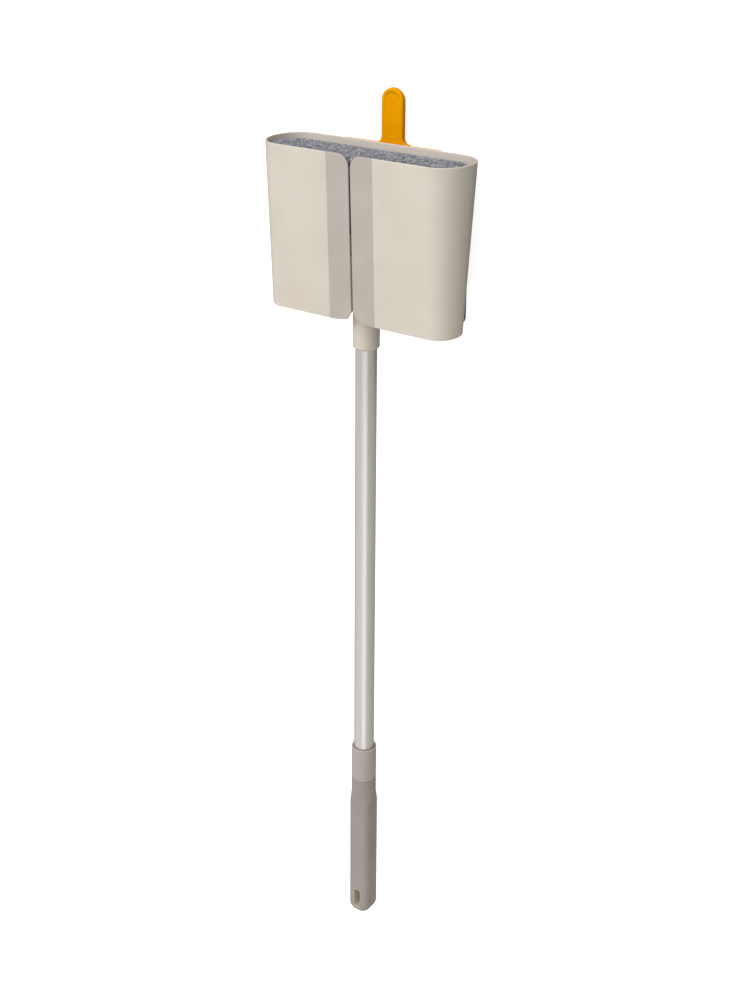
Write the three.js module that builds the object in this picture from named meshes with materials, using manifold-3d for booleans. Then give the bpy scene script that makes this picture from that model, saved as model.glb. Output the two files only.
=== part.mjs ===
// Wall-hung duster in its holder: a wide fibre head on a telescopic pole, parked head up in a
// wedge-shaped case that hangs on a wall plate, with a comb for the fibres behind the case.
// Millimetres, +Z up, front towards -Y, origin in the middle of the wall plate's back face.

import * as THREE from 'three';
import { mergeVertices } from 'three/addons/utils/BufferGeometryUtils.js';
import Module from 'manifold-3d';

const wasm = await Module();
wasm.setup();

// Driving dimensions

// Clearances
const seatGap = 0.3;
const hookGap = 0.4;

// Case: an upright wedge with round ends, open above and below
const caseHeight = 168;
const caseWall = 2;
const rimWidth = 230;
const rimDepth = 67.2;
const rimSetback = 48.1;
const footWidth = 216.4;
const footDepth = 46;
const footSetback = 52;
const endRoundness = 0.84;

// Soft lips on both sides of the slit in the case's front
const slitWidth = 2;
const lipWidth = 25.6;
const lipTopRadius = 12.5;
const lipCutWidth = 5.2;
const lipCutHeight = 10.4;
const lipCutRadius = 3;
const lipSweepWidth = 20;
const lipSweepHeight = 2.4;
const lipSweepRadius = 50;
const beadWidth = 1.4;
const beadDepth = 3;
const beadEndGap = 6;

// Wall plate, its hooks and screw holes
const plateWidth = 170;
const plateThickness = 4;
const plateCornerRadius = 8;
const plateOverhang = 6.3;
const plateTopClearance = 0.6;
const screwSpacing = 70;
const screwHoleRadius = 2.3;
const screwHeadRadius = 4.4;
const hookSpacing = 124;
const hookWidth = 16;
const hookThickness = 3;
const hookHeight = 14;
const hookPocket = 4;
const hookDrop = 38;

// Hanger ribs on the back of the case
const ribThickness = 6;
const ribBottomInset = 8;
const ribTopInset = 56;
const liftOff = 18;

// Comb with a thumb tab
const combWidth = 112;
const combThickness = 3;
const combSetback = 5.5;
const combBelowRim = 1.7;
const combSpineHeight = 14;
const toothLength = 26.3;
const toothPitch = 4.6;
const toothRootWidth = 2.6;
const toothTipWidth = 1.4;
const combEndWidth = 6;
const tabWidth = 25.2;
const tabHeight = 54.5;
const tabThickness = 5.6;
const tabFillet = 6.5;
const thumbRim = 2.2;
const thumbDepth = 1.4;
const thumbLength = 32;

// Guides that hold the ends of the comb
const guideWidth = 8;
const guideFloor = 3;
const guideBackLip = 2.4;
const guideCapture = 3.3;
const guideHeight = 39;

// Rests inside the case that carry the head
const restHeight = 73;
const restThickness = 3.6;
const restDepth = 26;

// Head
const poleSetback = 50;
const headEndGap = 5.15;
const headDepth = 44;
const slabHeight = 15;
const bossRadius = 18;
const bossHeight = 42;
const webThickness = 12;
const webReach = 78;
const webSweep = 0.75;
const backingHeight = 3;
const neckRadius = 13.5;
const neckLength = 92;
const neckInsert = 28;
const neckChamfer = 1.9;

// Fibres, whose trimmed top stays inside the rim's outer face by these gaps
const fibreBelowRim = 3.5;
const fibreEndGap = 5;
const fibreFrontGap = 4.2;
const fibreBackGap = 11.5;
const fibreColumns = 48;
const fibreRows = 8;
const fieldCount = 4;
const strandRootX = 2.6;
const strandRootY = 3;
const strandTipX = 3.4;
const strandTipY = 4.4;
const strandJitter = 0.3;
const strandEmbed = 1;
const noiseStep = 12.9898;
const noiseGain = 43758.5453;

// Telescopic pole
const outerTubeRadius = 11;
const tubeWall = 1;
const outerTubeLength = 559;
const poleInsert = 60;
const plugLength = 24;
const innerTubeRadius = 9.5;
const innerTubeLength = 628;
const gripSocketDepth = 126;
const bushFlange = 3;
const bushSpigot = 20;

// Twist collar and its collet bush
const collarRadius = 13.6;
const collarLength = 40.8;
const collarCover = 29;
const collarFloor = 1.4;
const collarChamfer = 0.6;
const colletWall = 0.8;
const colletTopRecess = 1.2;
const colletTaperLength = 9;
const colletTaper = 0.6;
const colletSlits = 4;
const colletSlitWidth = 1.5;
const colletSlitLength = 10;

// Grip
const gripLength = 181;
const gripNeckRadius = 13.6;
const gripHalfSize = 13;
const gripCornerRadius = 7.5;
const gripNeckLength = 16.5;
const gripFlareLength = 16;
const gripEndRadius = 10.5;
const gripEndSideRadius = 8;
const slotWidth = 8.2;
const slotHeight = 24.2;
const slotCornerRadius = 2.8;
const slotFromEnd = 8.5;

// Facets
const endSteps = 14;
const roundSegments = 40;
const screwHoleSegments = 24;
const gripCornerSteps = 8;
const arcSteps = 6;
const tabSteps = 12;
const overcut = 5;
const weldDistance = 1e-4;

// Heights that follow from the sizes above
const combTopAboveFoot = caseHeight - combBelowRim;
const combBottomAboveFoot = combTopAboveFoot - combSpineHeight - toothLength;
const guideBottomAboveFoot = combBottomAboveFoot - seatGap - guideFloor;
const plateTopAboveFoot = guideBottomAboveFoot - plateTopClearance;
const plateHeight = plateTopAboveFoot + plateOverhang;
const footZ = plateHeight / 2 - plateTopAboveFoot;
const rimZ = footZ + caseHeight;
const combTopZ = footZ + combTopAboveFoot;
const combBottomZ = footZ + combBottomAboveFoot;
const hookTopZ = plateHeight / 2 - (hookDrop - hookHeight);
const hookFloorZ = hookTopZ - hookHeight;
const slabZ = footZ + restHeight;
const backingZ = slabZ + slabHeight + seatGap;
const fibreRootZ = backingZ + backingHeight;
const fibreTopZ = rimZ - fibreBelowRim;
const bossZ = slabZ - bossHeight;
const neckTopZ = bossZ + neckInsert;
const neckBottomZ = neckTopZ - neckLength;
const outerTubeTopZ = neckBottomZ + poleInsert;
const outerTubeBottomZ = outerTubeTopZ - outerTubeLength;
const collarTopZ = outerTubeBottomZ + collarCover;
const collarBottomZ = collarTopZ - collarLength;
const plugBottomZ = outerTubeTopZ - plugLength;

// The pole slides in until the grip meets the collar, or until its hidden end meets the plug.
const gripAtCollarZ = collarBottomZ - seatGap;
const hiddenEndAtPlugZ = plugBottomZ - 2 * seatGap - bushFlange;
const gripTopZ = Math.min(gripAtCollarZ, hiddenEndAtPlugZ - innerTubeLength + gripSocketDepth);
const gripBottomZ = gripTopZ - gripLength;
const innerTubeBottomZ = gripTopZ - gripSocketDepth;
const innerTubeTopZ = innerTubeBottomZ + innerTubeLength;

// Widths and depths that follow
const widthAtRests = THREE.MathUtils.lerp(footWidth, rimWidth, restHeight / caseHeight);
const headWidth = widthAtRests - 2 * (caseWall + headEndGap);
const fibreTopWidth = rimWidth - 2 * fibreEndGap;
const fibreTopDepth = rimDepth - fibreFrontGap - fibreBackGap;
const fibreTopMiddleY = -rimSetback + (fibreFrontGap - fibreBackGap) / 2;
const combFrontY = -(combSetback + combThickness);
const combBackY = -combSetback;
const lipEdgeX = slitWidth / 2 + lipWidth;
const hookFrontY = -(plateThickness + hookPocket + hookThickness);
const hookBackY = -(plateThickness + hookPocket);
const innerTubeBore = innerTubeRadius - tubeWall;
const outerTubeBore = outerTubeRadius - tubeWall;
const colletRadius = outerTubeRadius + seatGap + colletWall;

// Materials
function finish(color, roughness, metalness = 0) {
  return new THREE.MeshStandardMaterial({ color, roughness, metalness });
}
const creamPlastic = () => finish('#d8d0c6', 0.5);
const softLipPlastic = () => finish('#bbb3ad', 0.7);
const darkPlastic = () => finish('#77706b', 0.6);
const yellowPlastic = () => finish('#e39b02', 0.45);
const fibreBundle = () => finish('#7f8698', 0.95);
const brushedAluminium = () => finish('#c9c5c2', 0.35, 0.9);
const collarPlastic = () => finish('#a59d98', 0.5);
const gripRubber = () => finish('#9a928c', 0.75);

// Turning geometries into solids and back

function solidOf(geometry) {
  const bare = geometry.clone();
  bare.deleteAttribute('normal');
  bare.deleteAttribute('uv');
  const welded = mergeVertices(bare, weldDistance);
  const vertProperties = new Float32Array(welded.attributes.position.array);
  const triVerts = new Uint32Array(welded.index.array);
  return new wasm.Manifold(new wasm.Mesh({ numProp: 3, vertProperties, triVerts }));
}

function geometryOf(solid) {
  const mesh = solid.getMesh();
  const geometry = new THREE.BufferGeometry();
  geometry.setAttribute('position', new THREE.BufferAttribute(mesh.vertProperties, 3));
  geometry.setIndex(new THREE.BufferAttribute(mesh.triVerts, 1));
  geometry.computeVertexNormals();
  return geometry;
}

// Basic forms

// Skins a stack of rings, lowest first, each running anticlockwise seen from above.
function loft(rings) {
  const count = rings[0].length;
  const positions = rings.flat().flatMap((point) => [point.x, point.y, point.z]);
  const index = [];
  for (let level = 0; level < rings.length - 1; level += 1) {
    for (let i = 0; i < count; i += 1) {
      const a = level * count + i;
      const b = level * count + ((i + 1) % count);
      index.push(a, b, b + count, a, b + count, a + count);
    }
  }
  const outline = rings[0].map((point) => new THREE.Vector2(point.x, point.y));
  const top = (rings.length - 1) * count;
  for (const [i, j, k] of THREE.ShapeUtils.triangulateShape(outline, [])) {
    index.push(k, j, i, top + i, top + j, top + k);
  }
  const geometry = new THREE.BufferGeometry();
  geometry.setAttribute('position', new THREE.Float32BufferAttribute(positions, 3));
  geometry.setIndex(index);
  return geometry;
}

// A flat-sided oval: two straight sides along X and two rounded ends.
function ovalRing(width, depth, middleY, z, roundness = 1) {
  const ring = [];
  const endX = (roundness * depth) / 2;
  for (const side of [1, -1]) {
    for (let i = 0; i <= endSteps; i += 1) {
      const angle = side * (i / endSteps - 0.5) * Math.PI;
      const x = side * (width / 2 - endX + endX * Math.cos(angle));
      ring.push(new THREE.Vector3(x, middleY + (depth / 2) * Math.sin(angle), z));
    }
  }
  return ring;
}

function box(x0, x1, y0, y1, z0, z1) {
  const geometry = new THREE.BoxGeometry(x1 - x0, y1 - y0, z1 - z0);
  geometry.translate((x0 + x1) / 2, (y0 + y1) / 2, (z0 + z1) / 2);
  return geometry;
}

// A prism along Y of a shape drawn in X and Z.
function prismAlongY(shape, frontY, backY, steps = arcSteps) {
  const geometry = new THREE.ExtrudeGeometry(shape, {
    depth: backY - frontY,
    bevelEnabled: false,
    curveSegments: steps,
  });
  geometry.rotateX(Math.PI / 2);
  geometry.translate(0, backY, 0);
  return geometry;
}

// A prism along X of a shape drawn in Y and Z.
function prismAlongX(shape, leftX, rightX) {
  const geometry = new THREE.ExtrudeGeometry(shape, { depth: rightX - leftX, bevelEnabled: false });
  const axes = [new THREE.Vector3(0, 1, 0), new THREE.Vector3(0, 0, 1), new THREE.Vector3(1, 0, 0)];
  geometry.applyMatrix4(new THREE.Matrix4().makeBasis(...axes));
  geometry.translate(leftX, 0, 0);
  return geometry;
}

// A shape with straight sides and a radius at each corner, from [x, y, radius] corners.
function roundedOutline(corners) {
  const shape = new THREE.Shape();
  const points = corners.map(([x, y]) => new THREE.Vector2(x, y));
  corners.forEach(([, , radius], i) => {
    const corner = points[i];
    const before = points[(i + corners.length - 1) % corners.length];
    const after = points[(i + 1) % corners.length];
    const towardsBefore = before.clone().sub(corner).normalize();
    const towardsAfter = after.clone().sub(corner).normalize();
    const halfAngle = Math.acos(THREE.MathUtils.clamp(towardsBefore.dot(towardsAfter), -1, 1)) / 2;
    const reach = radius / Math.tan(halfAngle);
    const start = corner.clone().addScaledVector(towardsBefore, reach);
    const end = corner.clone().addScaledVector(towardsAfter, reach);
    if (i === 0) shape.moveTo(start.x, start.y);
    else shape.lineTo(start.x, start.y);
    if (radius > 0) {
      const middle = towardsBefore.clone().add(towardsAfter).normalize();
      const centre = corner.clone().addScaledVector(middle, radius / Math.sin(halfAngle));
      const from = start.clone().sub(centre).angle();
      const to = end.clone().sub(centre).angle();
      const turnsLeft = towardsBefore.cross(towardsAfter) < 0;
      shape.absarc(centre.x, centre.y, radius, from, to, !turnsLeft);
    }
  });
  shape.closePath();
  return shape;
}

function roundedRectangle(x0, x1, y0, y1, radius) {
  return roundedOutline([
    [x0, y0, radius],
    [x1, y0, radius],
    [x1, y1, radius],
    [x0, y1, radius],
  ]);
}

// A body of revolution about the pole's axis, from [radius, z] points.
function turned(profile) {
  const points = profile.map(([radius, z]) => new THREE.Vector2(radius, z));
  const geometry = new THREE.LatheGeometry(points, roundSegments);
  geometry.rotateX(Math.PI / 2);
  geometry.translate(0, -poleSetback, 0);
  return geometry;
}

// A tube about the pole's axis, open at both ends.
function tube(outerRadius, bore, bottomZ, topZ) {
  return turned([
    [bore, bottomZ],
    [outerRadius, bottomZ],
    [outerRadius, topZ],
    [bore, topZ],
    [bore, bottomZ],
  ]);
}

function namedMesh(name, geometry, material) {
  const mesh = new THREE.Mesh(geometry, material);
  mesh.name = name;
  return mesh;
}

// Case

// How the case's outline changes from foot (0) to rim (1), carried on past both ends.
function caseSection(z, inset) {
  const t = (z - footZ) / caseHeight;
  const width = THREE.MathUtils.lerp(footWidth, rimWidth, t) - 2 * inset;
  const depth = THREE.MathUtils.lerp(footDepth, rimDepth, t) - 2 * inset;
  const middleY = -THREE.MathUtils.lerp(footSetback, rimSetback, t);
  return { width, depth, middleY };
}

function caseRing(z, inset) {
  const { width, depth, middleY } = caseSection(z, inset);
  return ovalRing(width, depth, middleY, z, endRoundness);
}

// Where the outer face of the case's back wall lies at a height.
function backWallY(z) {
  const { depth, middleY } = caseSection(z, 0);
  return middleY + depth / 2;
}

function caseWalls() {
  const outside = solidOf(loft([caseRing(footZ, 0), caseRing(rimZ, 0)]));
  const inside = solidOf(loft([caseRing(footZ - overcut, caseWall), caseRing(rimZ + overcut, caseWall)]));
  return outside.subtract(inside);
}

const walls = caseWalls();
const frontmostY = -(rimSetback + rimDepth + footSetback + footDepth);

function caseShell() {
  const halfGap = lipEdgeX + seatGap;
  const gap = box(-halfGap, halfGap, frontmostY, -rimSetback, footZ - overcut, rimZ + overcut);
  return geometryOf(walls.subtract(solidOf(gap)));
}

// Bead along a lip's free edge, inside the wall, which shuts the slit off from view below the head.
function slitBead(side) {
  const bottomZ = footZ + lipCutHeight;
  const topZ = slabZ - beadEndGap;
  const wedge = (inset) => solidOf(loft([
    caseRing(footZ - overcut, inset),
    caseRing(rimZ + overcut, inset),
  ]));
  const slitX = (side * slitWidth) / 2;
  const innerX = slitX + side * beadWidth;
  const keep = box(
    Math.min(slitX, innerX), Math.max(slitX, innerX),
    frontmostY, -rimSetback,
    bottomZ, topZ,
  );
  const layer = wedge(caseWall / 2).subtract(wedge(caseWall + beadDepth));
  return layer.intersect(solidOf(keep));
}

// A lip is the stretch of the front wall between the slit and the shell. Its free corner is rounded above
// and cut off below, where its lower edge sweeps up a little first.
function lip(side) {
  const slitX = (side * slitWidth) / 2;
  const outerX = side * lipEdgeX;
  const corners = [
    [slitX + side * lipCutWidth, footZ + lipSweepHeight, lipCutRadius],
    [slitX + side * lipSweepWidth, footZ, lipSweepRadius],
    [outerX, footZ, 0],
    [outerX, rimZ, 0],
    [slitX, rimZ, lipTopRadius],
    [slitX, footZ + lipCutHeight, lipCutRadius],
  ];
  if (side < 0) corners.reverse();
  const cutter = prismAlongY(roundedOutline(corners), frontmostY, -rimSetback);
  return geometryOf(walls.intersect(solidOf(cutter)).add(slitBead(side)));
}

// Half-oval shelf in one end of the case, just inside its tapering wall.
function headRest(side) {
  const bottomZ = slabZ - seatGap - restThickness;
  const { width, depth, middleY } = caseSection(bottomZ, caseWall + seatGap);
  const rings = [bottomZ, slabZ - seatGap].map((z) => ovalRing(width, depth, middleY, z, endRoundness));
  const endX = (side * width) / 2;
  const innerX = endX - side * restDepth;
  const farX = endX + side * overcut;
  const keep = box(
    Math.min(innerX, farX), Math.max(innerX, farX),
    middleY - depth, middleY + depth,
    bottomZ - overcut, slabZ + overcut,
  );
  return geometryOf(solidOf(loft(rings)).intersect(solidOf(keep)));
}

// Wedge rib from the leaning back wall to the wall plate, with a notch over the plate's hook.
function hangerRib(side) {
  const bottomZ = footZ + ribBottomInset;
  const topZ = rimZ - ribTopInset;
  const nearPlateY = -plateThickness - hookGap;
  const lipFrontY = hookBackY + hookGap;
  const notchFrontY = hookFrontY - hookGap;
  const footTopZ = hookFloorZ - hookThickness - liftOff - hookGap;
  const shape = new THREE.Shape([
    new THREE.Vector2(backWallY(bottomZ) + seatGap, bottomZ),
    new THREE.Vector2(nearPlateY, bottomZ),
    new THREE.Vector2(nearPlateY, footTopZ),
    new THREE.Vector2(notchFrontY, footTopZ),
    new THREE.Vector2(notchFrontY, hookTopZ + hookGap),
    new THREE.Vector2(lipFrontY, hookTopZ + hookGap),
    new THREE.Vector2(lipFrontY, hookFloorZ + seatGap),
    new THREE.Vector2(nearPlateY, hookFloorZ + seatGap),
    new THREE.Vector2(nearPlateY, topZ),
    new THREE.Vector2(backWallY(topZ) + seatGap, topZ),
  ]);
  const middleX = (side * hookSpacing) / 2;
  return prismAlongX(shape, middleX - ribThickness / 2, middleX + ribThickness / 2);
}

// Channel on the case's back wall that one end of the comb drops into.
function combGuide(side) {
  const bottomZ = combBottomZ - seatGap - guideFloor;
  const topZ = bottomZ + guideHeight;
  const backY = combBackY + seatGap + guideBackLip;
  const shape = new THREE.Shape([
    new THREE.Vector2(backWallY(bottomZ) + seatGap, bottomZ),
    new THREE.Vector2(backY, bottomZ),
    new THREE.Vector2(backY, topZ),
    new THREE.Vector2(backWallY(topZ) + seatGap, topZ),
  ]);
  const innerX = combWidth / 2 - guideCapture;
  const outerX = innerX + guideWidth;
  const grooveX = combWidth / 2 + seatGap;
  const block = side > 0 ? prismAlongX(shape, innerX, outerX) : prismAlongX(shape, -outerX, -innerX);
  const groove = box(
    side > 0 ? innerX - overcut : -grooveX, side > 0 ? grooveX : overcut - innerX,
    combFrontY - seatGap, combBackY + seatGap,
    combBottomZ - seatGap, topZ + overcut,
  );
  return geometryOf(solidOf(block).subtract(solidOf(groove)));
}

// Wall plate

// Arm and upright tongue of one hook, drawn from the side.
function hookProfile() {
  const rootY = -plateThickness / 2;
  return new THREE.Shape([
    new THREE.Vector2(hookFrontY, hookFloorZ - hookThickness),
    new THREE.Vector2(rootY, hookFloorZ - hookThickness),
    new THREE.Vector2(rootY, hookFloorZ),
    new THREE.Vector2(hookBackY, hookFloorZ),
    new THREE.Vector2(hookBackY, hookTopZ),
    new THREE.Vector2(hookFrontY, hookTopZ),
  ]);
}

// Countersunk hole, as the solid that is cut away.
function screwHole(x) {
  const sink = screwHeadRadius - screwHoleRadius;
  const profile = [
    [0, -overcut],
    [screwHoleRadius, -overcut],
    [screwHoleRadius, plateThickness - sink],
    [screwHeadRadius, plateThickness],
    [screwHeadRadius, plateThickness + overcut],
    [0, plateThickness + overcut],
  ];
  const points = profile.map(([radius, depth]) => new THREE.Vector2(radius, depth));
  const geometry = new THREE.LatheGeometry(points, screwHoleSegments);
  geometry.rotateX(Math.PI);
  geometry.translate(x, 0, 0);
  return geometry;
}

function wallPlate() {
  const halfWidth = plateWidth / 2;
  const halfHeight = plateHeight / 2;
  const outline = roundedRectangle(-halfWidth, halfWidth, -halfHeight, halfHeight, plateCornerRadius);
  let plate = solidOf(prismAlongY(outline, -plateThickness, 0));
  for (const side of [-1, 1]) {
    const hookX = (side * hookSpacing) / 2;
    plate = plate.add(solidOf(prismAlongX(hookProfile(), hookX - hookWidth / 2, hookX + hookWidth / 2)));
    plate = plate.subtract(solidOf(screwHole((side * screwSpacing) / 2)));
  }
  return geometryOf(plate);
}

// Comb

// Spine, end bars and teeth in one outline, drawn from the front.
function combOutline() {
  const half = combWidth / 2;
  const rootZ = combTopZ - combSpineHeight;
  const shape = new THREE.Shape();
  shape.moveTo(-half, combBottomZ);
  shape.lineTo(-half + combEndWidth, combBottomZ);
  const span = combWidth - 2 * combEndWidth;
  const toothCount = Math.floor(span / toothPitch);
  const firstX = -((toothCount - 1) * toothPitch) / 2;
  shape.lineTo(-half + combEndWidth, rootZ);
  for (let i = 0; i < toothCount; i += 1) {
    const x = firstX + i * toothPitch;
    shape.lineTo(x - toothRootWidth / 2, rootZ);
    shape.lineTo(x - toothTipWidth / 2, combBottomZ);
    shape.lineTo(x + toothTipWidth / 2, combBottomZ);
    shape.lineTo(x + toothRootWidth / 2, rootZ);
  }
  shape.lineTo(half - combEndWidth, rootZ);
  shape.lineTo(half - combEndWidth, combBottomZ);
  shape.lineTo(half, combBottomZ);
  shape.lineTo(half, combTopZ);
  shape.lineTo(-half, combTopZ);
  shape.closePath();
  return shape;
}

// Thumb tab that rises from the spine through a fillet on each side.
function tabOutline(width, bottomZ, topZ, fillet) {
  const half = width / 2;
  const shape = new THREE.Shape();
  shape.moveTo(-half - fillet, bottomZ);
  shape.lineTo(half + fillet, bottomZ);
  if (fillet > 0) {
    shape.lineTo(half + fillet, combTopZ);
    shape.absarc(half + fillet, combTopZ + fillet, fillet, -Math.PI / 2, Math.PI, true);
  }
  shape.absarc(0, topZ - half, half, 0, Math.PI, false);
  if (fillet > 0) shape.absarc(-half - fillet, combTopZ + fillet, fillet, 0, -Math.PI / 2, true);
  shape.closePath();
  return shape;
}

// Thumb dish: deepest under the rim at the tab's top, running out to nothing lower down.
function thumbDish(topZ) {
  const innerTopZ = topZ - thumbRim;
  const dishBottomZ = innerTopZ - thumbLength;
  const outline = tabOutline(tabWidth - 2 * thumbRim, dishBottomZ, innerTopZ, 0);
  const column = solidOf(prismAlongY(outline, combFrontY - overcut, combFrontY + thumbDepth, tabSteps));
  const wedge = new THREE.Shape([
    new THREE.Vector2(combFrontY - overcut, dishBottomZ),
    new THREE.Vector2(combFrontY, dishBottomZ),
    new THREE.Vector2(combFrontY + thumbDepth, innerTopZ),
    new THREE.Vector2(combFrontY - overcut, innerTopZ),
  ]);
  return column.intersect(solidOf(prismAlongX(wedge, -tabWidth, tabWidth)));
}

function comb() {
  const topZ = combTopZ + tabHeight;
  const tabRootZ = combTopZ - combSpineHeight / 2;
  const spine = solidOf(prismAlongY(combOutline(), combFrontY, combBackY));
  const tab = tabOutline(tabWidth, tabRootZ, topZ, tabFillet);
  const thickTab = solidOf(prismAlongY(tab, combFrontY, combFrontY + tabThickness, tabSteps));
  return geometryOf(spine.add(thickTab).subtract(thumbDish(topZ)));
}

// Head

function headSlab() {
  const rings = [slabZ, slabZ + slabHeight].map((z) => ovalRing(headWidth, headDepth, -poleSetback, z));
  return solidOf(loft(rings));
}

// Web under the slab that sweeps down to the boss on both sides.
function headWeb() {
  const shape = new THREE.Shape();
  const overlap = slabHeight / 2;
  const sweepZ = slabZ - bossHeight * webSweep;
  shape.moveTo(-webReach, slabZ + overlap);
  shape.lineTo(-webReach, slabZ);
  shape.quadraticCurveTo(-webReach / 3, slabZ, -bossRadius / 2, sweepZ);
  shape.lineTo(bossRadius / 2, sweepZ);
  shape.quadraticCurveTo(webReach / 3, slabZ, webReach, slabZ);
  shape.lineTo(webReach, slabZ + overlap);
  shape.closePath();
  const middleY = -poleSetback;
  return solidOf(prismAlongY(shape, middleY - webThickness / 2, middleY + webThickness / 2));
}

function brushBlock() {
  const boss = solidOf(turned([
    [0, bossZ],
    [bossRadius, bossZ],
    [bossRadius, slabZ + slabHeight / 2],
    [0, slabZ + slabHeight / 2],
  ]));
  const socket = solidOf(turned([
    [0, bossZ - overcut],
    [neckRadius + seatGap, bossZ - overcut],
    [neckRadius + seatGap, neckTopZ + seatGap],
    [0, neckTopZ + seatGap],
  ]));
  return geometryOf(headSlab().add(headWeb()).add(boss).subtract(socket));
}

function neckSocket() {
  const bore = outerTubeRadius + seatGap;
  return turned([
    [0, outerTubeTopZ + seatGap],
    [bore, outerTubeTopZ + seatGap],
    [bore, neckBottomZ],
    [neckRadius - neckChamfer, neckBottomZ],
    [neckRadius, neckBottomZ + neckChamfer],
    [neckRadius, neckTopZ],
    [0, neckTopZ],
  ]);
}

// A number between -1 and 1 that always comes out the same for the same count.
function steadyNoise(count) {
  const wave = Math.sin(count * noiseStep) * noiseGain;
  return 2 * (wave - Math.floor(wave)) - 1;
}

// One strand of four sides from the backing up to the trimmed top.
function strand(column, row) {
  const u = (column + 0.5) / fibreColumns - 0.5;
  const v = (row + 0.5) / fibreRows - 0.5;
  const shiftX = strandJitter * steadyNoise(column * fibreRows + row);
  const shiftY = strandJitter * steadyNoise(column + row * fibreColumns + 0.5);
  const root = new THREE.Vector2(u * headWidth, v * headDepth - poleSetback);
  const tip = new THREE.Vector2(
    u * fibreTopWidth + shiftX,
    v * fibreTopDepth + fibreTopMiddleY + shiftY,
  );
  const ring = (middle, halfX, halfY, z) => [
    new THREE.Vector3(middle.x - halfX, middle.y - halfY, z),
    new THREE.Vector3(middle.x + halfX, middle.y - halfY, z),
    new THREE.Vector3(middle.x + halfX, middle.y + halfY, z),
    new THREE.Vector3(middle.x - halfX, middle.y + halfY, z),
  ];
  return loft([
    ring(root, strandRootX / 2, strandRootY / 2, fibreRootZ - strandEmbed),
    ring(tip, strandTipX / 2, strandTipY / 2, fibreTopZ),
  ]);
}

// Whether a strand's whole root stands on the round-ended backing.
function rootFits(column, row) {
  const x = Math.abs((column + 0.5) / fibreColumns - 0.5) * headWidth + strandRootX / 2;
  const y = Math.abs((row + 0.5) / fibreRows - 0.5) * headDepth + strandRootY / 2;
  const endX = headWidth / 2 - headDepth / 2;
  return Math.hypot(Math.max(x - endX, 0), y) < headDepth / 2 - seatGap;
}

// One quarter of the fibre field with its slice of the backing.
function fibreField(index) {
  const sliceWidth = headWidth / fieldCount;
  const startX = -headWidth / 2 + index * sliceWidth;
  const rings = [backingZ, fibreRootZ].map((z) => ovalRing(headWidth, headDepth, -poleSetback, z));
  const slice = solidOf(box(
    startX + seatGap / 2, startX + sliceWidth - seatGap / 2,
    -poleSetback - headDepth, -poleSetback + headDepth,
    backingZ - overcut, fibreRootZ + overcut,
  ));
  let field = solidOf(loft(rings)).intersect(slice);
  const columns = fibreColumns / fieldCount;
  for (let column = index * columns; column < (index + 1) * columns; column += 1) {
    for (let row = 0; row < fibreRows; row += 1) {
      if (rootFits(column, row)) field = field.add(solidOf(strand(column, row)));
    }
  }
  return geometryOf(field);
}

// Pole

function tubePlug() {
  return turned([
    [0, plugBottomZ],
    [outerTubeBore - seatGap, plugBottomZ],
    [outerTubeBore - seatGap, outerTubeTopZ],
    [0, outerTubeTopZ],
  ]);
}

// Collet: a sleeve on the outer tube whose lower end is slit into fingers round the inner tube.
function lockBush() {
  const topZ = collarTopZ - colletTopRecess;
  const bottomZ = collarBottomZ + collarFloor + seatGap;
  const sleeveBore = outerTubeRadius + seatGap;
  const stepZ = outerTubeBottomZ - seatGap;
  const fingerBore = innerTubeRadius + seatGap;
  const bush = solidOf(turned([
    [fingerBore, bottomZ],
    [colletRadius - colletTaper, bottomZ],
    [colletRadius, bottomZ + colletTaperLength],
    [colletRadius, topZ],
    [sleeveBore, topZ],
    [sleeveBore, stepZ],
    [fingerBore, stepZ],
    [fingerBore, bottomZ],
  ]));
  const halfSlit = colletSlitWidth / 2;
  let slitted = bush;
  for (let i = 0; i < colletSlits; i += 1) {
    const cutter = box(
      0, colletRadius + overcut,
      -halfSlit, halfSlit,
      bottomZ - overcut, bottomZ + colletSlitLength,
    );
    cutter.rotateZ(((i + 0.5) / colletSlits) * 2 * Math.PI);
    cutter.translate(0, -poleSetback, 0);
    slitted = slitted.subtract(solidOf(cutter));
  }
  return geometryOf(slitted);
}

// Twist collar: a thin sleeve over the collet, with a floor that the inner tube passes through.
function twistCollar() {
  const bore = colletRadius + seatGap;
  const coneZ = collarBottomZ + collarFloor;
  return turned([
    [innerTubeRadius + seatGap, collarBottomZ],
    [collarRadius - collarChamfer, collarBottomZ],
    [collarRadius, collarBottomZ + collarChamfer],
    [collarRadius, collarTopZ - collarChamfer],
    [collarRadius - collarChamfer, collarTopZ],
    [bore, collarTopZ],
    [bore, coneZ + seatGap + colletTaperLength],
    [bore - colletTaper, coneZ],
    [innerTubeRadius + seatGap, coneZ],
    [innerTubeRadius + seatGap, collarBottomZ],
  ]);
}

// Slide bush on the hidden end of the inner tube.
function guideBush() {
  return turned([
    [0, innerTubeTopZ - bushSpigot],
    [innerTubeBore - seatGap, innerTubeTopZ - bushSpigot],
    [innerTubeBore - seatGap, innerTubeTopZ + seatGap],
    [outerTubeBore - seatGap, innerTubeTopZ + seatGap],
    [outerTubeBore - seatGap, innerTubeTopZ + seatGap + bushFlange],
    [0, innerTubeTopZ + seatGap + bushFlange],
  ]);
}

// Plug that closes the inner tube inside the grip.
function tubeEndPlug() {
  return turned([
    [0, innerTubeBottomZ - seatGap - bushFlange],
    [innerTubeRadius, innerTubeBottomZ - seatGap - bushFlange],
    [innerTubeRadius, innerTubeBottomZ - seatGap],
    [innerTubeBore - seatGap, innerTubeBottomZ - seatGap],
    [innerTubeBore - seatGap, innerTubeBottomZ + bushSpigot],
    [0, innerTubeBottomZ + bushSpigot],
  ]);
}

// Grip

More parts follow.
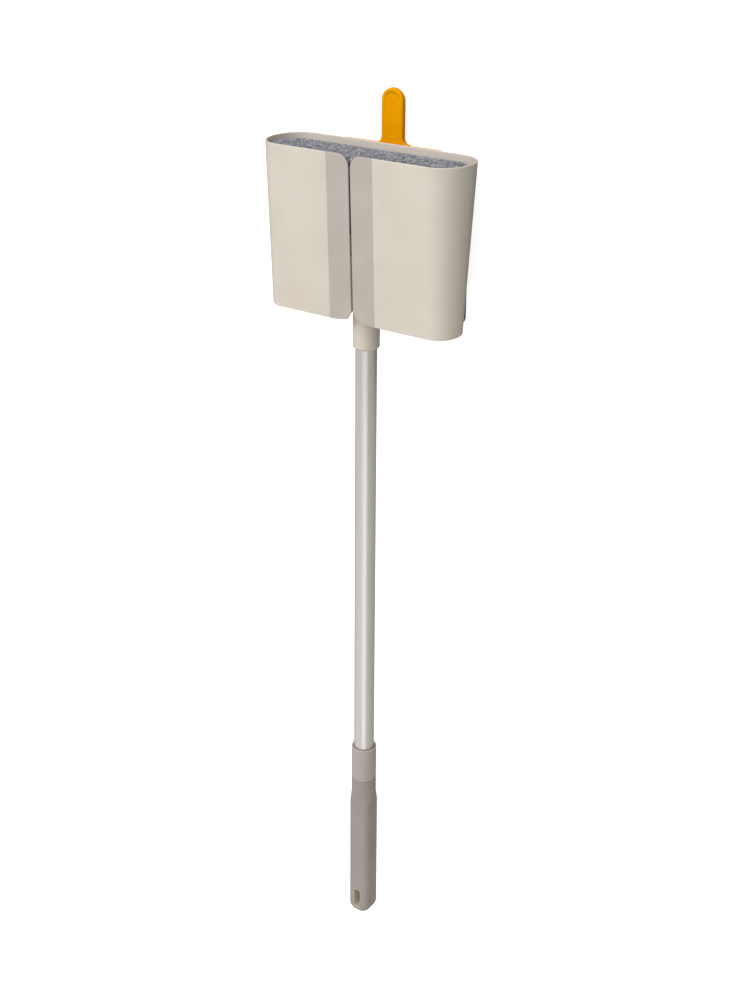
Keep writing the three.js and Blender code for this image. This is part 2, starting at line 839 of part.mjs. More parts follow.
// A rectangle with rounded corners about the pole, level, as a ring of points.
function gripRing(halfX, halfY, radius, z) {
  const round = Math.min(radius, halfX, halfY);
  const ring = [];
  for (const [sideX, sideY, turn] of [[1, 1, 0], [-1, 1, 1], [-1, -1, 2], [1, -1, 3]]) {
    for (let i = 0; i <= gripCornerSteps; i += 1) {
      const angle = (turn + i / gripCornerSteps) * (Math.PI / 2);
      const x = sideX * (halfX - round) + round * Math.cos(angle);
      const y = sideY * (halfY - round) + round * Math.sin(angle);
      ring.push(new THREE.Vector3(x, y - poleSetback, z));
    }
  }
  return ring;
}

// How far a corner of that radius takes in the side at a height above the end.
function cornerInset(radius, height) {
  const below = Math.max(radius - height, 0);
  return radius - Math.sqrt(radius ** 2 - below ** 2);
}

function gripBody() {
  const rings = [];
  for (let i = 0; i <= arcSteps; i += 1) {
    const height = gripEndRadius * (1 - Math.cos((i / arcSteps) * (Math.PI / 2)));
    const halfX = gripHalfSize - cornerInset(gripEndRadius, height);
    const halfY = gripHalfSize - cornerInset(gripEndSideRadius, height);
    rings.push(gripRing(halfX, halfY, gripCornerRadius, gripBottomZ + height));
  }
  const neckZ = gripTopZ - gripNeckLength;
  for (let i = 0; i <= arcSteps; i += 1) {
    const t = i / arcSteps;
    const ease = t * t * (3 - 2 * t);
    const half = THREE.MathUtils.lerp(gripHalfSize, gripNeckRadius, ease);
    const radius = THREE.MathUtils.lerp(gripCornerRadius, gripNeckRadius, ease);
    rings.push(gripRing(half, half, radius, neckZ - gripFlareLength * (1 - t)));
  }
  const edge = gripNeckRadius - collarChamfer;
  rings.push(gripRing(gripNeckRadius, gripNeckRadius, gripNeckRadius, gripTopZ - collarChamfer));
  rings.push(gripRing(edge, edge, edge, gripTopZ));
  return solidOf(loft(rings));
}

function grip() {
  const bore = innerTubeRadius + seatGap;
  const boreEndZ = innerTubeBottomZ - bushFlange - 2 * seatGap;
  const tubeBore = solidOf(turned([
    [0, boreEndZ],
    [bore, boreEndZ],
    [bore, gripTopZ + overcut],
    [0, gripTopZ + overcut],
  ]));
  const slotBottomZ = gripBottomZ + slotFromEnd;
  const slot = roundedRectangle(
    -slotWidth / 2, slotWidth / 2,
    slotBottomZ, slotBottomZ + slotHeight,
    slotCornerRadius,
  );
  const reach = 2 * gripHalfSize;
  const hole = solidOf(prismAlongY(slot, -poleSetback - reach, -poleSetback + reach));
  return geometryOf(gripBody().subtract(tubeBore).subtract(hole));
}

// Assembly

const duster = new THREE.Group();
duster.add(namedMesh('wall_plate', wallPlate(), darkPlastic()));
duster.add(namedMesh('case_shell', caseShell(), creamPlastic()));
for (const [side, word] of [[-1, 'left'], [1, 'right']]) {
  duster.add(namedMesh(`lip_${word}`, lip(side), softLipPlastic()));
  duster.add(namedMesh(`hanger_rib_${word}`, hangerRib(side), darkPlastic()));
  duster.add(namedMesh(`comb_guide_${word}`, combGuide(side), darkPlastic()));
  duster.add(namedMesh(`head_rest_${word}`, headRest(side), creamPlastic()));
}
duster.add(namedMesh('comb', comb(), yellowPlastic()));
duster.add(namedMesh('brush_block', brushBlock(), creamPlastic()));
duster.add(namedMesh('neck_socket', neckSocket(), creamPlastic()));
for (let i = 0; i < fieldCount; i += 1) {
  duster.add(namedMesh(`fibre_field_${i + 1}`, fibreField(i), fibreBundle()));
}
const outerTube = tube(outerTubeRadius, outerTubeBore, outerTubeBottomZ, outerTubeTopZ);
const innerTube = tube(innerTubeRadius, innerTubeBore, innerTubeBottomZ, innerTubeTopZ);
duster.add(namedMesh('outer_tube', outerTube, brushedAluminium()));
duster.add(namedMesh('tube_plug', tubePlug(), darkPlastic()));
duster.add(namedMesh('lock_bush', lockBush(), darkPlastic()));
duster.add(namedMesh('twist_collar', twistCollar(), collarPlastic()));
duster.add(namedMesh('inner_tube', innerTube, brushedAluminium()));
duster.add(namedMesh('guide_bush', guideBush(), darkPlastic()));
duster.add(namedMesh('tube_end_plug', tubeEndPlug(), darkPlastic()));
duster.add(namedMesh('grip', grip(), gripRubber()));

export default duster;
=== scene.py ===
import math

import bmesh
import bpy
from mathutils import Matrix, Vector


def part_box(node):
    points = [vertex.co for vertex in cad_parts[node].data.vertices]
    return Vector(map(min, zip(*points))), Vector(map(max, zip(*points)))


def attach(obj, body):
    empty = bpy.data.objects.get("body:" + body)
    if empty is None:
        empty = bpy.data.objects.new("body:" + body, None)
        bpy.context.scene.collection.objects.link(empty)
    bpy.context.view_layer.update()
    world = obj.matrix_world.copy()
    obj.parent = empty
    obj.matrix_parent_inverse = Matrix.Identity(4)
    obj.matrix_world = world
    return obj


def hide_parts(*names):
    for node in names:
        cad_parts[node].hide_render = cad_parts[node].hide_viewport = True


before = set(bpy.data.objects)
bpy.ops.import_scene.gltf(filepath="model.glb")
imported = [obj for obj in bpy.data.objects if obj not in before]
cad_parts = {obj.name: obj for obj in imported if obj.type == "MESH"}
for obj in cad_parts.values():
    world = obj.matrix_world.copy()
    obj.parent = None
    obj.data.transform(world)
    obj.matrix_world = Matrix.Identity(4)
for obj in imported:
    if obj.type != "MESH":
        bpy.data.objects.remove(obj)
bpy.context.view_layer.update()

# Sizes in millimetres, as the CAD model has them. Heights are read from its nodes.

MM = 0.001
POLE_Y = -50.0


def height(node, end):
    """Lowest (0) or highest (1) point of a CAD node, in millimetres."""
    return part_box(node)[end].z / MM


SIDES = ((-1, "left"), (1, "right"))

CASE_WALL = 2.0
CASE_ROUND = 0.8
CASE_EDGE_BAND = 8.0
CASE_LOW_RING = 60.0
CASE_FOOT = {"z": height("case_shell", 0), "width": 216.4, "depth": 46.0, "middle": -52.0}
CASE_RIM = {"z": height("case_shell", 1), "width": 230.0, "depth": 67.2, "middle": -48.1}
END_ROUNDNESS = 0.84
LIP_SLIT_X = 1.0
LIP_SEAM_X = 26.6
LIP_SEAM_LEAN = 0.12
SHELL_SEAM_X = 26.66
LIP_TOP_RADIUS = 12.5
LIP_CUT_WIDTH = 5.2
LIP_CUT_HEIGHT = 10.4
LIP_CUT_RADIUS = 3.0
LIP_SWEEP_WIDTH = 20.0
LIP_SWEEP_HEIGHT = 2.4
LIP_SWEEP_RADIUS = 50.0
LIP_ROUND = 0.8
BEAD_WIDTH = 1.4
BEAD_DEPTH = 3.0
BEAD_SUNK = 0.5
BEAD_TOP_Z = height("lip_left", 0) + 67.0

COMB_WIDTH = 112.0
COMB_FRONT = -8.5
COMB_BACK = -5.5
COMB_BOTTOM_Z = height("comb", 0)
COMB_TOP_Z = COMB_BOTTOM_Z + 40.3
COMB_SPINE = 14.0
COMB_END = 6.0
TOOTH_PITCH = 4.6
TOOTH_ROOT = 2.6
TOOTH_TIP = 1.4
TAB_TOP_Z = height("comb", 1)
TAB_HALF = 12.6
TAB_BACK = -2.9
TAB_FILLET = 6.5
TAB_FRONT_ROUND = 1.9
TAB_BACK_ROUND = 1.0
TAB_SUNK = 7.0
TAB_PROUD = 0.05
TAB_TOP_STEPS = 12
THUMB_RIM = 2.4
THUMB_WALL = 3.6
THUMB_INSETS = (2.4, 2.8, 3.2, 3.7, 4.2, 4.7, 5.2, 5.7, 6.2, 8.5, 11.0)
THUMB_DEPTH = 1.1
THUMB_LENGTH = 32.0

HEAD_WIDTH = 208.0
HEAD_DEPTH = 44.0
BACKING_Z = height("fibre_field_1", 0)
BACKING_HEIGHT = 3.0
ROOT_SUNK = 0.5
FIBRE_TOP_Z = height("fibre_field_1", 1)
FIBRE_TOP_WIDTH = 221.0
FIBRE_TOP_DEPTH = 51.5
FIBRE_TOP_SHIFT = -1.75
FIBRE_FIELDS = 4

NECK_RADIUS = 13.5
NECK_CHAMFER = 1.9
NECK_BORE_DEPTH = 61.0
OUTER_TUBE_RADIUS = 11.0
INNER_TUBE_RADIUS = 9.5
TUBE_WALL = 1.0
TUBE_PLAY = 0.3
COLLAR_RADIUS = 13.6
COLLAR_BORE = 12.4
COLLAR_FLOOR = 1.4
COLLAR_CONE_HEIGHT = 9.3
COLLAR_CONE_DEPTH = 0.6

GRIP_NECK_RADIUS = 13.6
GRIP_HALF = 13.0
GRIP_CORNER = 7.5
GRIP_NECK = 16.5
GRIP_FLARE = 16.0
GRIP_END_RADIUS = 10.5
GRIP_END_SIDE_RADIUS = 8.0
SLOT_WIDTH = 8.2
SLOT_HEIGHT = 24.2
SLOT_RADIUS = 2.8
SLOT_FROM_END = 8.5
SLOT_DRAFT = 1.5
EYELET_WIDTH = 0.9
EYELET_PROUD = 0.5
EYELET_SKIN = 0.2

SCREW_SPACING = 70.0
PLATE_THICKNESS = 4.0
PLATE_CORNER = 8.0

WALL_Y = 0.6
WALL_HALF = 900.0
WALL_TOP_Z = 700.0
FLOOR_Z = -1700.0
FLOOR_HALF = 4000.0


# Meshes


def mesh_object(name, points, faces):
    """An object at the origin from points in millimetres."""
    mesh = bpy.data.meshes.new(name)
    mesh.from_pydata([Vector(p) * MM for p in points], [], faces)
    mesh.validate()
    obj = bpy.data.objects.new(name, mesh)
    bpy.context.scene.collection.objects.link(obj)
    return obj


def smooth(obj, sharp_angle=35):
    """Smooth shading that keeps flat faces flat and edges over the angle sharp."""
    obj.data.shade_smooth()
    obj.data.set_sharp_from_angle(angle=math.radians(sharp_angle))
    normals = obj.modifiers.new("flat faces stay flat", "WEIGHTED_NORMAL")
    normals.keep_sharp = True
    return obj


def bridge(rings):
    """Quads between rings of equal count, which run anticlockwise seen from the last ring."""
    count = len(rings[0])
    faces = []
    for level in range(len(rings) - 1):
        for i in range(count):
            a = level * count + i
            b = level * count + (i + 1) % count
            faces.append((a, b, b + count, a + count))
    return faces


def loft(name, rings, outwards=True):
    """A skin over rings of equal count with a flat face on the first and the last."""
    count = len(rings[0])
    faces = bridge(rings)
    faces.append(tuple(reversed(range(count))))
    faces.append(tuple(range((len(rings) - 1) * count, len(rings) * count)))
    if not outwards:
        faces = [tuple(reversed(f)) for f in faces]
    return mesh_object(name, [p for ring in rings for p in ring], faces)


def turned(name, profile, segments=96, centre=(0.0, POLE_Y)):
    """A body of revolution about a vertical axis, from [radius, z] points that run anticlockwise in the
    half plane, either as a closed loop or from the axis to the axis."""
    points = []
    rows = []
    for radius, z in profile:
        if radius < 1e-6:
            points.append((centre[0], centre[1], z))
            rows.append([len(points) - 1])
            continue
        row = []
        for i in range(segments):
            angle = 2 * math.pi * i / segments
            points.append((centre[0] + radius * math.cos(angle), centre[1] + radius * math.sin(angle), z))
            row.append(len(points) - 1)
        rows.append(row)
    closed = len(rows[0]) > 1
    pairs = list(zip(rows, rows[1:]))
    if closed:
        pairs.append((rows[-1], rows[0]))
    faces = []
    for lower, upper in pairs:
        for i in range(segments):
            j = (i + 1) % segments
            if len(lower) == 1:
                faces.append((lower[0], upper[j], upper[i]))
            elif len(upper) == 1:
                faces.append((lower[i], lower[j], upper[0]))
            else:
                faces.append((lower[i], lower[j], upper[j], upper[i]))
    return smooth(mesh_object(name, points, faces))


def corner_arc(x, y, radius, start, end, steps=5):
    """Points on an arc about (x, y), from one angle to another in degrees."""
    angles = [math.radians(start + (end - start) * i / steps) for i in range(steps + 1)]
    return [(x + radius * math.cos(a), y + radius * math.sin(a)) for a in angles]


def rounded(corners, steps=6, inset=0.0):
    """Points that far inside a polygon of [x, z, radius] corners, which runs anticlockwise and bends out."""
    points = []
    for i, (x, z, radius) in enumerate(corners):
        corner = Vector((x, z))
        before = (Vector(corners[i - 1][:2]) - corner).normalized()
        after = (Vector(corners[(i + 1) % len(corners)][:2]) - corner).normalized()
        half = math.acos(before.dot(after)) / 2
        bisector = (before + after).normalized() / math.sin(half)
        if radius == 0:
            points.append(tuple(corner + bisector * inset))
            continue
        centre = corner + bisector * radius
        start = math.degrees(math.atan2(before.x, -before.y))
        end = start + 180 - 2 * math.degrees(half)
        points += corner_arc(centre.x, centre.y, radius - inset, start, end, steps)
    return points


def oval(width, depth, middle, z, roundness=1.0, steps=24):
    """Closed outline with two straight sides along X and two rounded ends."""
    end_x = roundness * depth / 2
    ring = []
    for side in (1, -1):
        for i in range(steps + 1):
            angle = side * (i / steps - 0.5) * math.pi
            x = side * (width / 2 - end_x + end_x * math.cos(angle))
            ring.append((x, middle + depth / 2 * math.sin(angle), z))
    return ring


def round_edges(obj, radius):
    """Rounds the edges over 30 degrees."""
    obj.data.shade_smooth()
    bevel = obj.modifiers.new("rounded edges", "BEVEL")
    bevel.width = radius * MM
    bevel.segments = 3
    bevel.limit_method = "ANGLE"
    bevel.angle_limit = math.radians(30)
    bevel.harden_normals = True
    return obj


def softened(node, name, radius):
    """A copy of a CAD node with its doubles merged, its flat faces joined and its edges rounded."""
    mesh = bpy.data.meshes.new(name)
    work = bmesh.new()
    work.from_mesh(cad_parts[node].data)
    bmesh.ops.remove_doubles(work, verts=work.verts, dist=1e-6)
    bmesh.ops.dissolve_limit(work, angle_limit=math.radians(0.5), verts=work.verts, edges=work.edges)
    work.to_mesh(mesh)
    work.free()
    obj = bpy.data.objects.new(name, mesh)
    bpy.context.scene.collection.objects.link(obj)
    round_edges(obj, radius)
    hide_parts(node)
    return obj


def apply_modifiers(obj):
    """Turns an object with its modifiers into a plain mesh object."""
    graph = bpy.context.evaluated_depsgraph_get()
    mesh = bpy.data.meshes.new_from_object(obj.evaluated_get(graph), depsgraph=graph)
    obj.modifiers.clear()
    obj.data = mesh
    mesh.name = obj.name
    return obj


def cut(obj, tool):
    """Takes the tool's solid out of the object."""
    boolean = obj.modifiers.new("cut", "BOOLEAN")
    boolean.operation = "DIFFERENCE"
    boolean.solver = "EXACT"
    boolean.object = tool
    apply_modifiers(obj)
    bpy.data.objects.remove(tool)
    return obj


# Materials


def linear(code):
    """sRGB hex to linear RGBA."""
    values = [int(code[i:i + 2], 16) / 255 for i in (1, 3, 5)]
    return [v / 12.92 if v <= 0.04045 else ((v + 0.055) / 1.055) ** 2.4 for v in values] + [1.0]


def add(tree, kind, inputs=None, stops=(), **settings):
    """Adds a node with its settings. An input takes a value, another node's output, or another node for
    its first output, and a colour ramp takes stops of [position, hex]."""
    node = tree.nodes.new(kind)
    for key, value in settings.items():
        setattr(node, key, value)
    for key, value in (inputs or {}).items():
        if isinstance(value, bpy.types.Node):
            value = value.outputs[0]
        if isinstance(value, bpy.types.NodeSocket):
            tree.links.new(value, node.inputs[key])
        else:
            node.inputs[key].default_value = value
    while stops and len(node.color_ramp.elements) < len(stops):
        node.color_ramp.elements.new(0.5)
    for i, (position, code) in enumerate(stops):
        node.color_ramp.elements[i].position = position
        node.color_ramp.elements[i].color = linear(code)
    return node


def finish(name, **sockets):
    """A new material, its node tree and its shader, with constants set on the shader's own sockets."""
    material = bpy.data.materials.new(name)
    material.use_nodes = True
    tree = material.node_tree
    shader = tree.nodes["Principled BSDF"]
    for key, value in sockets.items():
        shader.inputs[key.replace("_", " ")].default_value = value
    return material, tree, shader


def roughen(tree, shader, pattern, low, high, strength, depth):
    """Roughness between two values and a shallow relief, both from one pattern."""
    patchy = add(tree, "ShaderNodeMapRange", {"Value": pattern, "To Min": low, "To Max": high})
    tree.links.new(patchy.outputs["Result"], shader.inputs["Roughness"])
    relief = add(tree, "ShaderNodeBump", {"Height": pattern, "Strength": strength, "Distance": depth * MM})
    tree.links.new(relief.outputs["Normal"], shader.inputs["Normal"])


def moulded_plastic(name, light, dark, roughness, grain=0.5, **sockets):
    """Moulded plastic with a spark-eroded skin: an even colour that drifts a little over centimetres, and
    a fine grain that breaks up the highlight. The real grain is 0.1 mm and is drawn coarser to show."""
    material, tree, shader = finish(name, IOR=1.5, **sockets)
    place = add(tree, "ShaderNodeTexCoord").outputs["Object"]
    drift = add(tree, "ShaderNodeTexNoise", {"Vector": place, "Scale": 1 / (45 * MM), "Detail": 2.0})
    colour = add(tree, "ShaderNodeValToRGB", {"Fac": drift}, [(0.35, dark), (0.65, light)])
    tree.links.new(colour.outputs["Color"], shader.inputs["Base Color"])
    skin = add(tree, "ShaderNodeTexNoise", {"Vector": place, "Scale": 1 / (grain * MM), "Detail": 3.0})
    roughen(tree, shader, skin, roughness - 0.06, roughness + 0.06, 0.35, 0.02)
    return material


def anodised_aluminium(name, light, dark, roughness):
    """Drawn tube, satin anodised: a bare grey metal with faint draw lines along its length, which pull
    the highlight into an upright streak. The real lines are 0.1 mm apart and are drawn at 0.5 mm."""
    material, tree, shader = finish(name, Metallic=1.0)
    place = add(tree, "ShaderNodeTexCoord").outputs["Object"]
    across = 1 / (0.5 * MM)
    along = 1 / (50 * MM)
    drawn = add(tree, "ShaderNodeMapping", {"Vector": place, "Scale": (across, across, along)})
    lines = add(tree, "ShaderNodeTexNoise", {"Vector": drawn, "Scale": 1.0, "Detail": 3.0})
    colour = add(tree, "ShaderNodeValToRGB", {"Fac": lines}, [(0.3, dark), (0.7, light)])
    tree.links.new(colour.outputs["Color"], shader.inputs["Base Color"])
    roughen(tree, shader, lines, roughness - 0.05, roughness + 0.05, 0.12, 0.01)
    return material


def zinc_plated_steel(name):
    """Bright zinc on a screw head: pale grey metal with a slightly blotchy shine."""
    material, tree, shader = finish(name, Metallic=1.0)
    place = add(tree, "ShaderNodeTexCoord").outputs["Object"]
    blotches = add(tree, "ShaderNodeTexNoise", {"Vector": place, "Scale": 1 / (1.2 * MM), "Detail": 2.0})
    colour = add(tree, "ShaderNodeValToRGB", {"Fac": blotches}, [(0.3, "#a9acae"), (0.7, "#c9cbcc")])
    tree.links.new(colour.outputs["Color"], shader.inputs["Base Color"])
    patchy = add(tree, "ShaderNodeMapRange", {"Value": blotches, "To Min": 0.25, "To Max": 0.4})
    tree.links.new(patchy.outputs["Result"], shader.inputs["Roughness"])
    return material


def mixed_microfibre(name):
    """Blue-grey microfibre of dark, mid and pale strands with a few white ones, which reads as a speckled
    felt. Each strand has its own tone, and tufts a few millimetres across are lighter and darker. The
    pile has painted shade: its colour is painted darker below its trimmed top, where light doesn't reach
    in, and less so on its sides."""
    material, tree, shader = finish(name, Roughness=0.95, Sheen_Weight=0.25, Sheen_Roughness=0.5)
    place = add(tree, "ShaderNodeTexCoord").outputs["Object"]
    strand_tone = add(tree, "ShaderNodeAttribute", attribute_name="tone")
    tufts = add(tree, "ShaderNodeTexNoise", {
        "Vector": place, "Scale": 1 / (4.5 * MM), "Detail": 3.0, "Roughness": 0.6,
    })
    blend = add(tree, "ShaderNodeMix", {"Factor": 0.68, "A": strand_tone.outputs["Fac"], "B": tufts})
    at = add(tree, "ShaderNodeSeparateXYZ", {"Vector": place}).outputs

    # How deep a point lies inside the pile's outline, which widens from the backing to the top. It has
    # round ends, so its half depth, middle and half straight length say it all.
    backing = Vector((HEAD_DEPTH / 2, POLE_Y, (HEAD_WIDTH - HEAD_DEPTH) / 2)) * MM
    trimmed = Vector((
        FIBRE_TOP_DEPTH / 2, POLE_Y + FIBRE_TOP_SHIFT, (FIBRE_TOP_WIDTH - FIBRE_TOP_DEPTH) / 2,
    )) * MM
    rise = add(tree, "ShaderNodeMapRange", {
        "Value": at["Z"], "From Min": (BACKING_Z + BACKING_HEIGHT) * MM, "From Max": FIBRE_TOP_Z * MM,
    })
    outline = add(tree, "ShaderNodeMix", {0: rise, 4: backing, 5: trimmed}, data_type="VECTOR")
    half, middle, straight = add(tree, "ShaderNodeSeparateXYZ", {"Vector": outline.outputs[1]}).outputs
    sideways = add(tree, "ShaderNodeMath", {0: at["X"]}, operation="ABSOLUTE")
    past = add(tree, "ShaderNodeMath", {0: sideways, 1: straight}, operation="SUBTRACT")
    round_end = add(tree, "ShaderNodeMath", {0: past, 1: 0.0}, operation="MAXIMUM")
    across = add(tree, "ShaderNodeMath", {0: at["Y"], 1: middle}, operation="SUBTRACT")
    arm = add(tree, "ShaderNodeCombineXYZ", {"X": round_end, "Y": across})
    reach = add(tree, "ShaderNodeVectorMath", {0: arm}, operation="LENGTH")
    buried = add(tree, "ShaderNodeMath", {0: half, 1: reach.outputs["Value"]}, operation="SUBTRACT")

    # Painted shade: the colour is darker below the pile's trimmed top, nearly black deep inside the pile and
    # only a little darker on its outer skin.
    low_light = add(tree, "ShaderNodeMapRange", {
        "Value": buried, "From Min": 1.5 * MM, "From Max": 4.0 * MM,
        "To Min": 0.75, "To Max": 0.06,
    })
    light = add(tree, "ShaderNodeMapRange", {
        "Value": at["Z"], "From Min": (FIBRE_TOP_Z - 5.4) * MM, "From Max": (FIBRE_TOP_Z - 1.2) * MM,
        "To Min": low_light, "To Max": 1.0,
    })
    painted_shade = add(tree, "ShaderNodeMath", {0: blend.outputs["Result"], 1: light}, operation="MULTIPLY")
    colour = add(tree, "ShaderNodeValToRGB", {"Fac": painted_shade}, [
        (0.0, "#0a0b0e"), (0.29, "#50535e"), (0.39, "#808493"), (0.47, "#b0b3c0"),
        (0.56, "#c8cad6"), (0.64, "#eef0f4"), (0.72, "#ffffff"),
    ])
    tree.links.new(colour.outputs["Color"], shader.inputs["Base Color"])
    return material


CREAM_ABS = moulded_plastic("moulded ABS, cream", "#ddd5cb", "#d8d0c5", 0.5)
LIP_TPE = moulded_plastic("soft-touch TPE, warm light grey", "#c0b9b2", "#bbb3ac", 0.62, grain=0.7)
DARK_PP = moulded_plastic("moulded polypropylene, dark warm grey", "#7d7671", "#716a65", 0.55)
YELLOW_PP = moulded_plastic("moulded polypropylene, golden yellow", "#f7a700", "#f2a100", 0.42,
                            Specular_Tint=linear("#f0a000"), Specular_IOR_Level=0.3)
COLLAR_NYLON = moulded_plastic("moulded nylon, warm mid grey", "#b4aca9", "#ada5a2", 0.5)
GRIP_TPE = moulded_plastic("soft-touch TPE, warm mid grey", "#a39b97", "#9b9490", 0.66, grain=0.7)
# Paler than the grip as painted light: a painted highlight round the hanging slot's mouth and painted light
# on its walls.
EYELET_PP_PAINTED_LIGHT = moulded_plastic("moulded polypropylene, pale sand grey", "#c3bbab", "#bcb4a4", 0.5)
OUTER_ALUMINIUM = anodised_aluminium("satin anodised aluminium, outer tube", "#e6e3e1", "#dedbd9", 0.34)
INNER_ALUMINIUM = anodised_aluminium("satin anodised aluminium, inner tube", "#d3d1cf", "#c7c4c2", 0.3)
SCREW_ZINC = zinc_plated_steel("zinc-plated steel")
FIBRE = mixed_microfibre("mixed microfibre, blue-grey")


def dress(obj, material, body, slot, *nodes):
    """Gives a piece its material and body, and hides the CAD nodes it stands for. Its slot is not used."""
    obj.data.materials.clear()
    obj.data.materials.append(material)
    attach(obj, body)
    if nodes:
        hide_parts(*nodes)
    return obj


# Case


def case_section(z, inset):
    """Width, depth and middle of the case at a height, that far inside its outer face."""
    t = (z - CASE_FOOT["z"]) / (CASE_RIM["z"] - CASE_FOOT["z"])
    width, depth, middle = (
        CASE_FOOT[k] + (CASE_RIM[k] - CASE_FOOT[k]) * t for k in ("width", "depth", "middle")
    )
    return width - 2 * inset, depth - 2 * inset, middle


def wall_profile():
    """[inset, z] points round the case's wall: up the outside, over the rim, down the inside."""
    r = CASE_ROUND
    foot, rim = CASE_FOOT["z"], CASE_RIM["z"]
    low, high = foot + CASE_EDGE_BAND, rim - CASE_EDGE_BAND
    profile = [(0.0, low), (0.0, foot + CASE_LOW_RING), (0.0, high)]
    profile += corner_arc(r, rim - r, r, 180, 90)
    profile += corner_arc(CASE_WALL - r, rim - r, r, 90, 0)
    profile += [(CASE_WALL, high), (CASE_WALL, low)]
    profile += corner_arc(CASE_WALL - r, foot + r, r, 0, -90)
    profile += corner_arc(r, foot + r, r, -90, -180)
    return profile


def case_path(z, inset, steps=28, support=3.0):
    """The case's open outline, from the right-hand seam round the back to the left-hand seam."""
    width, depth, middle = case_section(z, inset)
    end_x = END_ROUNDNESS * depth / 2
    straight = width / 2 - end_x
    half = depth / 2
    path = [(SHELL_SEAM_X, middle - half, z), (straight - support, middle - half, z)]
    for side in (1, -1):
        for i in range(steps + 1):
            angle = side * (i / steps - 0.5) * math.pi
            path.append((side * (straight + end_x * math.cos(angle)), middle + half * math.sin(angle), z))
        if side == 1:
            path += [(straight - support, middle + half, z), (-straight + support, middle + half, z)]
    path += [(-straight + support, middle - half, z), (-SHELL_SEAM_X, middle - half, z)]
    return path


def case_body():
    paths = [case_path(z, inset) for inset, z in wall_profile()]
    count = len(paths[0])
    points = [p for path in paths for p in path]
    faces = []
    for level in range(len(paths)):
        upper = (level + 1) % len(paths)
        for i in range(count - 1):
            a, b = level * count + i, level * count + i + 1
            faces.append((a, b, upper * count + i + 1, upper * count + i))
    faces.append([level * count for level in range(len(paths))])
    faces.append([level * count + count - 1 for level in reversed(range(len(paths)))])
    return smooth(mesh_object("case_body", points, faces))


def lip_outline(side, inset, depth):
    """Outline of a lip at a depth behind its face: its free corner is round above and cut off below,
    where the lower edge sweeps up a little first. Its seam leans back, so that it can bend inwards."""
    foot, rim = CASE_FOOT["z"], CASE_RIM["z"]
    seam = LIP_SEAM_X + inset - LIP_SEAM_LEAN * depth
    flat = rounded([
        (LIP_SLIT_X + LIP_CUT_WIDTH, foot + LIP_SWEEP_HEIGHT, LIP_CUT_RADIUS),
        (LIP_SLIT_X + LIP_SWEEP_WIDTH, foot, LIP_SWEEP_RADIUS),
        (seam, foot, 0),
        (seam, rim, 0),
        (LIP_SLIT_X, rim, LIP_TOP_RADIUS),
        (LIP_SLIT_X, foot + LIP_CUT_HEIGHT, LIP_CUT_RADIUS),
    ], 10, inset)
    outline = []
    for x, z in flat:
        _, full_depth, middle = case_section(z, 0)
        outline.append((side * x, middle - full_depth / 2 + depth, z))
    return outline


def soft_lip(side, word):
    r = LIP_ROUND
    layers = corner_arc(r, r, r, 270, 180)
    layers += [(inset, CASE_WALL - depth) for inset, depth in reversed(layers)]
    rings = [lip_outline(side, inset, depth) for inset, depth in layers]
    return smooth(loft(f"soft_lip_{word}", rings, side < 0))


def slit_bead(side, word):
    """Bead inside a lip along its free edge, which keeps the slit dark."""
    edge = 0.5
    bottom = CASE_FOOT["z"] + LIP_CUT_HEIGHT
    rings = []
    for z, inset in ((bottom, edge), (bottom + edge, 0), (BEAD_TOP_Z - edge, 0), (BEAD_TOP_Z, edge)):
        _, depth, middle = case_section(z, CASE_WALL - BEAD_SUNK)
        front = middle - depth / 2
        back = front + BEAD_SUNK + BEAD_DEPTH
        left, right = LIP_SLIT_X, LIP_SLIT_X + BEAD_WIDTH
        corners = [(left, front, 0), (right, front, 0), (right, back, edge + 0.1), (left, back, edge + 0.1)]
        rings.append([(side * x, y, z) for x, y in rounded(corners, 4, inset)])
    return smooth(loft(f"slit_bead_{word}", rings, side > 0))


dress(case_body(), CREAM_ABS, "case", "case_plastic", "case_shell")
for side, word in SIDES:
    dress(soft_lip(side, word), LIP_TPE, f"lip_{word}", "lip_plastic", f"lip_{word}")
for side, word in SIDES:
    dress(slit_bead(side, word), LIP_TPE, f"lip_{word}", "lip_plastic")
for _, word in SIDES:
    rest = softened(f"head_rest_{word}", f"case_head_rest_{word}", 0.6)
    dress(rest, CREAM_ABS, "case", "case_plastic")
    rib = softened(f"hanger_rib_{word}", f"case_hanger_rib_{word}", 0.5)
    dress(rib, DARK_PP, "case", "plate_plastic")
    guide = softened(f"comb_guide_{word}", f"case_comb_guide_{word}", 0.4)
    dress(guide, DARK_PP, "case", "plate_plastic")

# Wall plate and its screws


def screw_head():
    """Countersunk head with a cross recess, its axis along Y and its face at Y 0."""
    face, waist, shank = 3.9, 1.9, PLATE_THICKNESS - 0.4
    profile = [(0.0, 0.0), (face - 0.2, 0.0), (face, 0.15), (waist, 2.2), (waist, shank), (0.0, shank)]
    head = turned("screw_head", [(r, -d) for r, d in reversed(profile)], 32, (0.0, 0.0))
    head.modifiers.clear()
    for x, y in ((2.4, 0.55), (0.55, 2.4)):
        top = [(-x, -y, 0.5), (x, -y, 0.5), (x, y, 0.5), (-x, y, 0.5)]
        deep = [(px * 0.6, py * 0.8, -1.4) for px, py, _ in top]
        faces = bridge([deep, top]) + [(3, 2, 1, 0), (4, 5, 6, 7)]
        cut(head, mesh_object("recess_tool", deep + top, faces))
    head.data.transform(Matrix.Rotation(math.radians(90), 4, "X"))
    return head


def node_tree(title, inputs):
    """A Geometry Nodes tree with named inputs, their identifiers and what they give inside the tree."""
    tree = bpy.data.node_groups.new(title, "GeometryNodeTree")
    sockets = {}
    for name, kind in inputs.items():
        socket = tree.interface.new_socket(name=name, in_out="INPUT", socket_type=f"NodeSocket{kind}")
        sockets[name] = socket.identifier
    tree.interface.new_socket(name="Geometry", in_out="OUTPUT", socket_type="NodeSocketGeometry")
    return tree, sockets, add(tree, "NodeGroupInput").outputs


